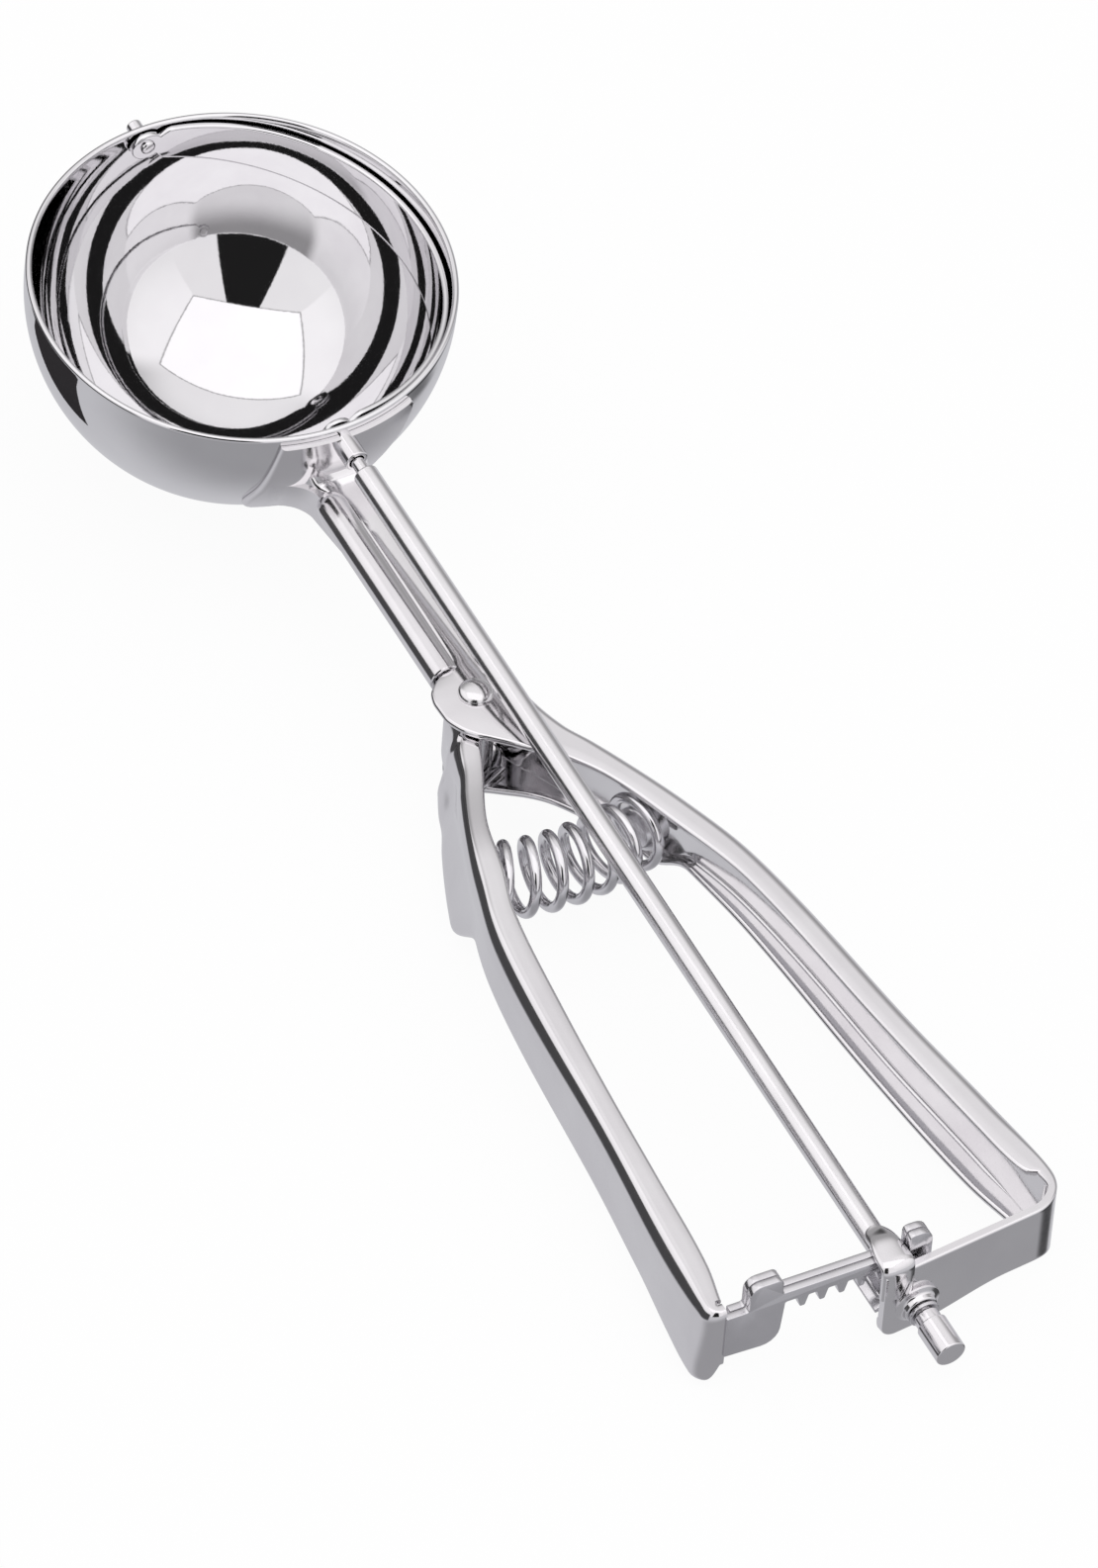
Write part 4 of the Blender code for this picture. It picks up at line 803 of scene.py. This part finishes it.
pivotSize = {"head": 2.45, "headHeight": 1.3, "lift": 0.05, "shank": 1.5, "foot": 2.4,
             "footHeight": 0.5, "past": 0.15, "spacer": (1.8, 2.9), "play": 0.6}


def makePivot():
    size = pivotSize
    foot, shank, lift = size["foot"], size["shank"], size["lift"]
    bottom = -handle["tall"] - size["past"]
    turn = np.linspace(0.05, math.pi / 2, 16)
    dome = np.c_[size["head"] * np.sin(turn), lift + size["headHeight"] * np.cos(turn) ** 0.8]
    under = np.c_[foot * np.sin(turn), bottom - size["footHeight"] * np.cos(turn)][::-1]
    profile = np.r_[[(0, lift + size["headHeight"])], dome,
                    [(foot, 0.02), (shank, 0.0), (shank, bottom)], under,
                    [(0, bottom - size["footHeight"])]]
    addTurned("pivotRivet", profile, fromLever, satin, "frame", ["pivot_rivet"], about="z")
    gap = 2 * handle["sheet"] + size["play"]
    low = gap - handle["tall"]
    bore, wide = size["spacer"]
    spacer = roundCorners([(bore, -gap), (wide, -gap), (wide, low), (bore, low), (bore, -gap)],
                          [0.15, 0.15, 0.05])
    addTurned("pivotSpacer", spacer, fromLever, cut, "frame", ["pivot_spacer"], about="z")


# Spring: a coil about an axis that is bent so that it meets both levers' walls squarely

springSize = {"wire": 1.6, "radius": 4.8, "turns": 7.5, "reach": 27.6, "drop": 7.4,
              "seat": 2.0, "play": 0.3}


def springSeat():
    # Half the span between the seats, the lean of the ends and the axis's radius.
    at = springSize["reach"] - springSize["seat"]
    lean = math.atan((outerFace(at + 1) - outerFace(at - 1)) / 2)
    clear = handle["sheet"] + springSize["play"] + springSize["wire"] / 2
    span = outerFace(at) - clear / math.cos(lean)
    return span, lean, span / math.sin(lean)


def makeSpring():
    # A circle of wire carried round the bent axis, at a steady distance from it.
    size = springSize
    span, lean, bend = springSeat()
    share = np.linspace(0, 1, 700)
    turn = math.pi / 2 + 2 * math.pi * size["turns"] * share
    swing = lean * (2 * share - 1)
    reach = bend + size["radius"] * np.cos(turn)
    line = np.c_[reach * np.sin(swing), bend - size["reach"] - reach * np.cos(swing),
                 -size["drop"] + size["radius"] * np.sin(turn)]
    axis = np.c_[bend * np.sin(swing), bend - size["reach"] - bend * np.cos(swing),
                 np.full(len(share), -size["drop"])]
    # The wire's section lies across the line, with one side pointing away from the axis.
    ahead = unit(np.gradient(line, axis=0))
    out = line - axis
    out = unit(out - ahead * (out * ahead).sum(axis=1)[:, None])
    beside = np.cross(ahead, out)
    around = fullTurn(20)
    rings = line[:, None] + size["wire"] / 2 * (out[:, None] * np.cos(around)[:, None]
                                                + beside[:, None] * np.sin(around)[:, None])
    spring = addLoft("squeezeSpring", fromLever(rings), wire)
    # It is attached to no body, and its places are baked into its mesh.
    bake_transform(spring)
    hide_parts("spring")


studSize = {"outline": [(0, 3.4), (2.4, 3.4), (3.4, 2.5), (3.4, -0.25), (0, -0.25)],
            "rounding": [0.4, 0.6, 0.1]}


def makeStuds():
    # Turned about the spring's axis where it meets each lever's wall.
    span, lean, bend = springSeat()
    half = springSize["wire"] / 2
    profile = roundCorners(studSize["outline"], studSize["rounding"])
    for name, side, body, node in (("studFixed", 1, "frame", "spring_stud_fixed"),
                                   ("studMoving", -1, "squeeze_lever", "spring_stud_moving")):
        base = np.array([side * (span + half * math.cos(lean)),
                         bend - springSize["reach"] - bend * math.cos(lean)
                         + half * math.sin(lean), -springSize["drop"]])
        axis = np.array([-side * math.cos(lean), -math.sin(lean), 0.0])
        spread = np.array([[-axis[1], axis[0], 0.0], [0.0, 0.0, 1.0], axis])
        addTurned(name, profile, lambda points: fromLever(base + points @ spread), cut, body,
                  [node], 64, "z")


makeBowl()
makeSaddle()
makeWeb()
makeFixedSide()
makeBead()
makeMovingSide()
makeHood()
makeLeaves()
makePinion()
makeRod()
makeFittings()
makeBlade()
makePivot()
makeStuds()
makeSpring()
print("pieces made")


# Studio: a white tent with a bright roof, and an opening where the camera looks in

tent = {"long": 141.0, "roofMiddle": (-0.07, -0.235), "roofHalf": (0.72, 0.525),
        "roof": 1.25, "roofEdge": 0.012, "seam": 0.55, "seamEdge": (0.022, 0.004),
        "side": 0.98, "sideRise": (-0.1, 0.75, 0.82, 1.12), "far": (0.40, 0.88, 0.38, 0.96),
        "farEdge": 0.25, "near": 0.95, "nearEdge": 0.03, "opening": (-0.33, 0.24, 0.01),
        "openingDark": 0.015, "under": (-0.35, 0.40, 0.38, 0.62), "edge": 0.66,
        "edgeRise": (-0.7, -0.2), "horizon": 0.03, "shade": 0.07,
        "leftWay": (-0.64, 0.77), "leftFrom": (0.30, 0.42), "leftBand": (-0.42, 0.24, 0.05),
        "rightWay": (0.99, -0.10), "rightFrom": (0.58, 0.66), "rightBand": (-0.79, -0.55, 0.05),
        "tint": ((0.955, 0.955, 1.0, 1), (1.0, 0.985, 1.0, 1)), "tintRise": (-0.4, 0.4)}


def makeWorld():
    # The tent is a box about the object: a direction meets the wall on whose side it lies
    # most, after the roof's middle and half sizes are taken out of it.
    world = bpy.data.worlds.new("studio")
    bpy.context.scene.world = world
    world.use_nodes = True
    tree = world.node_tree
    tree.nodes.clear()

    def calc(operation, *values):
        made = tree.nodes.new("ShaderNodeMath")
        made.operation = operation
        return feed(made, range(len(values)), values).outputs["Value"]

    def times(first, second):
        return calc("MULTIPLY", first, second)

    def less(first, second):
        return calc("SUBTRACT", first, second)

    def step(value, low, high, start=0.0, end=1.0):
        made = addNode(tree, "ShaderNodeMapRange", Value=value, From_Min=low, From_Max=high,
                       To_Min=start, To_Max=end)
        made.interpolation_type = "SMOOTHSTEP"
        return made.outputs["Result"]

    def band(value, low, high, soft):
        return times(step(value, low - soft, low + soft), step(value, high + soft, high - soft))

    def blend(share, first, second):
        made = tree.nodes.new("ShaderNodeMix")
        return feed(made, (0, 2, 3), (share, first, second)).outputs[0]

    place = tree.nodes.new("ShaderNodeTexCoord").outputs["Generated"]
    parts = addNode(tree, "ShaderNodeSeparateXYZ", Vector=place)
    x, y, z = (parts.outputs[name] for name in "XYZ")
    angle = math.radians(tent["long"])

    def level(alongX, alongY):
        return calc("ADD", times(x, alongX), times(y, alongY))

    def share(alongX, alongY, middle, half):
        shift = times(calc("MAXIMUM", z, 0.0), middle)
        return calc("DIVIDE", less(level(alongX, alongY), shift), half)

    a = share(math.cos(angle), math.sin(angle), tent["roofMiddle"][0], tent["roofHalf"][0])
    b = share(math.sin(angle), -math.cos(angle), tent["roofMiddle"][1], tent["roofHalf"][1])
    sideways, back = calc("ABSOLUTE", a), times(b, -1.0)
    past = less(calc("MAXIMUM", sideways, calc("ABSOLUTE", b)), z)
    isFar = step(less(b, sideways), -tent["farEdge"], tent["farEdge"])
    isNear = step(less(back, sideways), -tent["nearEdge"], tent["nearEdge"])
    side = times(step(z, *tent["sideRise"]), tent["side"])
    wall = blend(isFar, side, step(z, *tent["far"]))
    wall = blend(isNear, wall, tent["near"])
    lateral = calc("DIVIDE", a, calc("MAXIMUM", back, 0.001))
    wall = blend(times(isNear, band(lateral, *tent["opening"])), wall, tent["openingDark"])
    upper = blend(step(past, tent["roofEdge"], -tent["roofEdge"]), wall, tent["roof"])
    seam = times(step(calc("ABSOLUTE", past), *tent["seamEdge"]), tent["seam"])
    upper = times(upper, less(1.0, seam))

    # Below the horizon is a pale table, with darker things beyond it at the left and right,
    # of which the left one also stands above the horizon.
    leftThing = times(step(level(*tent["leftWay"]), *tent["leftFrom"]),
                      band(z, *tent["leftBand"]))
    rightThing = times(step(level(*tent["rightWay"]), *tent["rightFrom"]),
                       band(z, *tent["rightBand"]))
    lower = blend(step(z, *tent["edgeRise"]), step(y, *tent["under"]), tent["edge"])
    lower = blend(rightThing, lower, tent["shade"])
    brightness = blend(step(z, -tent["horizon"], tent["horizon"]), lower, upper)
    brightness = blend(leftThing, brightness, tent["shade"])
    tint = addNode(tree, "ShaderNodeValToRGB", Fac=step(z, *tent["tintRise"]))
    for element, colour in zip(tint.color_ramp.elements, tent["tint"]):
        element.color = colour
    studio = addNode(tree, "ShaderNodeBackground", Color=tint.outputs["Color"],
                     Strength=brightness)
    white = addNode(tree, "ShaderNodeBackground", Color=(1, 1, 1, 1), Strength=1.0)
    seen = tree.nodes.new("ShaderNodeLightPath").outputs["Is Camera Ray"]
    addNode(tree, "ShaderNodeOutputWorld", Surface=shaderMix(
        tree, seen, studio.outputs["Background"], white.outputs["Background"]))


def flatSheet(name, corners, drop, material):
    # One flat face a little below the object.
    mesh = bpy.data.meshes.new(name)
    mesh.from_pydata(corners, [], [tuple(range(len(corners)))])
    mesh.materials.append(material)
    flat = bpy.data.objects.new(name, mesh)
    flat.location = (0, 0, -drop)
    bpy.context.scene.collection.objects.link(flat)
    return flat


floorSize = {"half": 0.8, "drop": 0.0006, "matt": 0.06}


def makeFloor():
    # A white floor with a faint shadow. The steel reflects the tent's table instead of it.
    material = bpy.data.materials.new("paleFloor")
    material.use_nodes = True
    tree = material.node_tree
    tree.nodes.remove(tree.nodes["Principled BSDF"])
    glow = addNode(tree, "ShaderNodeEmission", Color=(1, 1, 1, 1), Strength=1.0)
    matt = addNode(tree, "ShaderNodeBsdfDiffuse", Color=(1, 1, 1, 1))
    both = shaderMix(tree, floorSize["matt"], glow.outputs["Emission"], matt.outputs["BSDF"])
    tree.links.new(both, tree.nodes["Material Output"].inputs["Surface"])
    half = floorSize["half"]
    floor = flatSheet("studioFloor", [(-half, -half, 0), (half, -half, 0), (half, half, 0),
                                      (-half, half, 0)], floorSize["drop"], material)
    floor.visible_glossy = False


cardSize = {"corners": [(-0.034, 0.088, 0), (-0.060, 0.097, 0), (-0.074, 0.137, 0),
                        (-0.037, 0.130, 0)],
            "drop": 0.0003, "colour": (0.04, 0.038, 0.04, 1), "roughness": 0.9}


def makeCard():
    # A dark card on the table beyond the bowl, seen only in reflections: in the bowl's left
    # side from the photograph's view, and as a dark patch on its outside from behind.
    material = bpy.data.materials.new("darkCard")
    material.use_nodes = True
    feed(material.node_tree.nodes["Principled BSDF"],
         ("Base Color", "Roughness", "Specular IOR Level"),
         (cardSize["colour"], cardSize["roughness"], 0.0))
    card = flatSheet("darkCard", cardSize["corners"], cardSize["drop"], material)
    card.visible_camera = False
    card.visible_diffuse = False
    card.visible_shadow = False


view = {"azimuth": -35.548, "elevation": 50.729, "roll": 9.107, "distance": 1997.0,
        "aim": (-2.811, -94.724, 0.0), "focal": 15000.0, "imageHeight": 1585.0}


def makeCamera():
    # Given in the rod frame: the way back to the camera, its roll and what it aims at.
    azimuth, elevation, roll = (math.radians(view[key]) for key in ("azimuth", "elevation",
                                                                   "roll"))
    back = np.array([math.sin(azimuth) * math.cos(elevation),
                     -math.cos(azimuth) * math.cos(elevation), math.sin(elevation)])
    right = np.array([math.cos(azimuth), math.sin(azimuth), 0.0])
    up = np.cross(back, right)
    rolled = np.array([right * math.cos(roll) + up * math.sin(roll),
                       up * math.cos(roll) - right * math.sin(roll), back])
    matrix = np.eye(4)
    matrix[:3, :3] = (rolled @ rodAxes).T
    matrix[:3, 3] = fromRod(np.array(view["aim"]) + back * view["distance"])
    data = bpy.data.cameras.new("photoCamera")
    data.sensor_fit = "VERTICAL"
    data.sensor_height = 36.0
    data.lens = view["focal"] / view["imageHeight"] * data.sensor_height
    data.clip_end = 20.0
    camera = bpy.data.objects.new("photoCamera", data)
    bpy.context.scene.collection.objects.link(camera)
    camera.matrix_world = Matrix(matrix.tolist())
    bpy.context.scene.camera = camera


makeWorld()
makeFloor()
makeCard()
makeCamera()
bpy.context.scene.view_settings.view_transform = "Standard"
print("studio made")
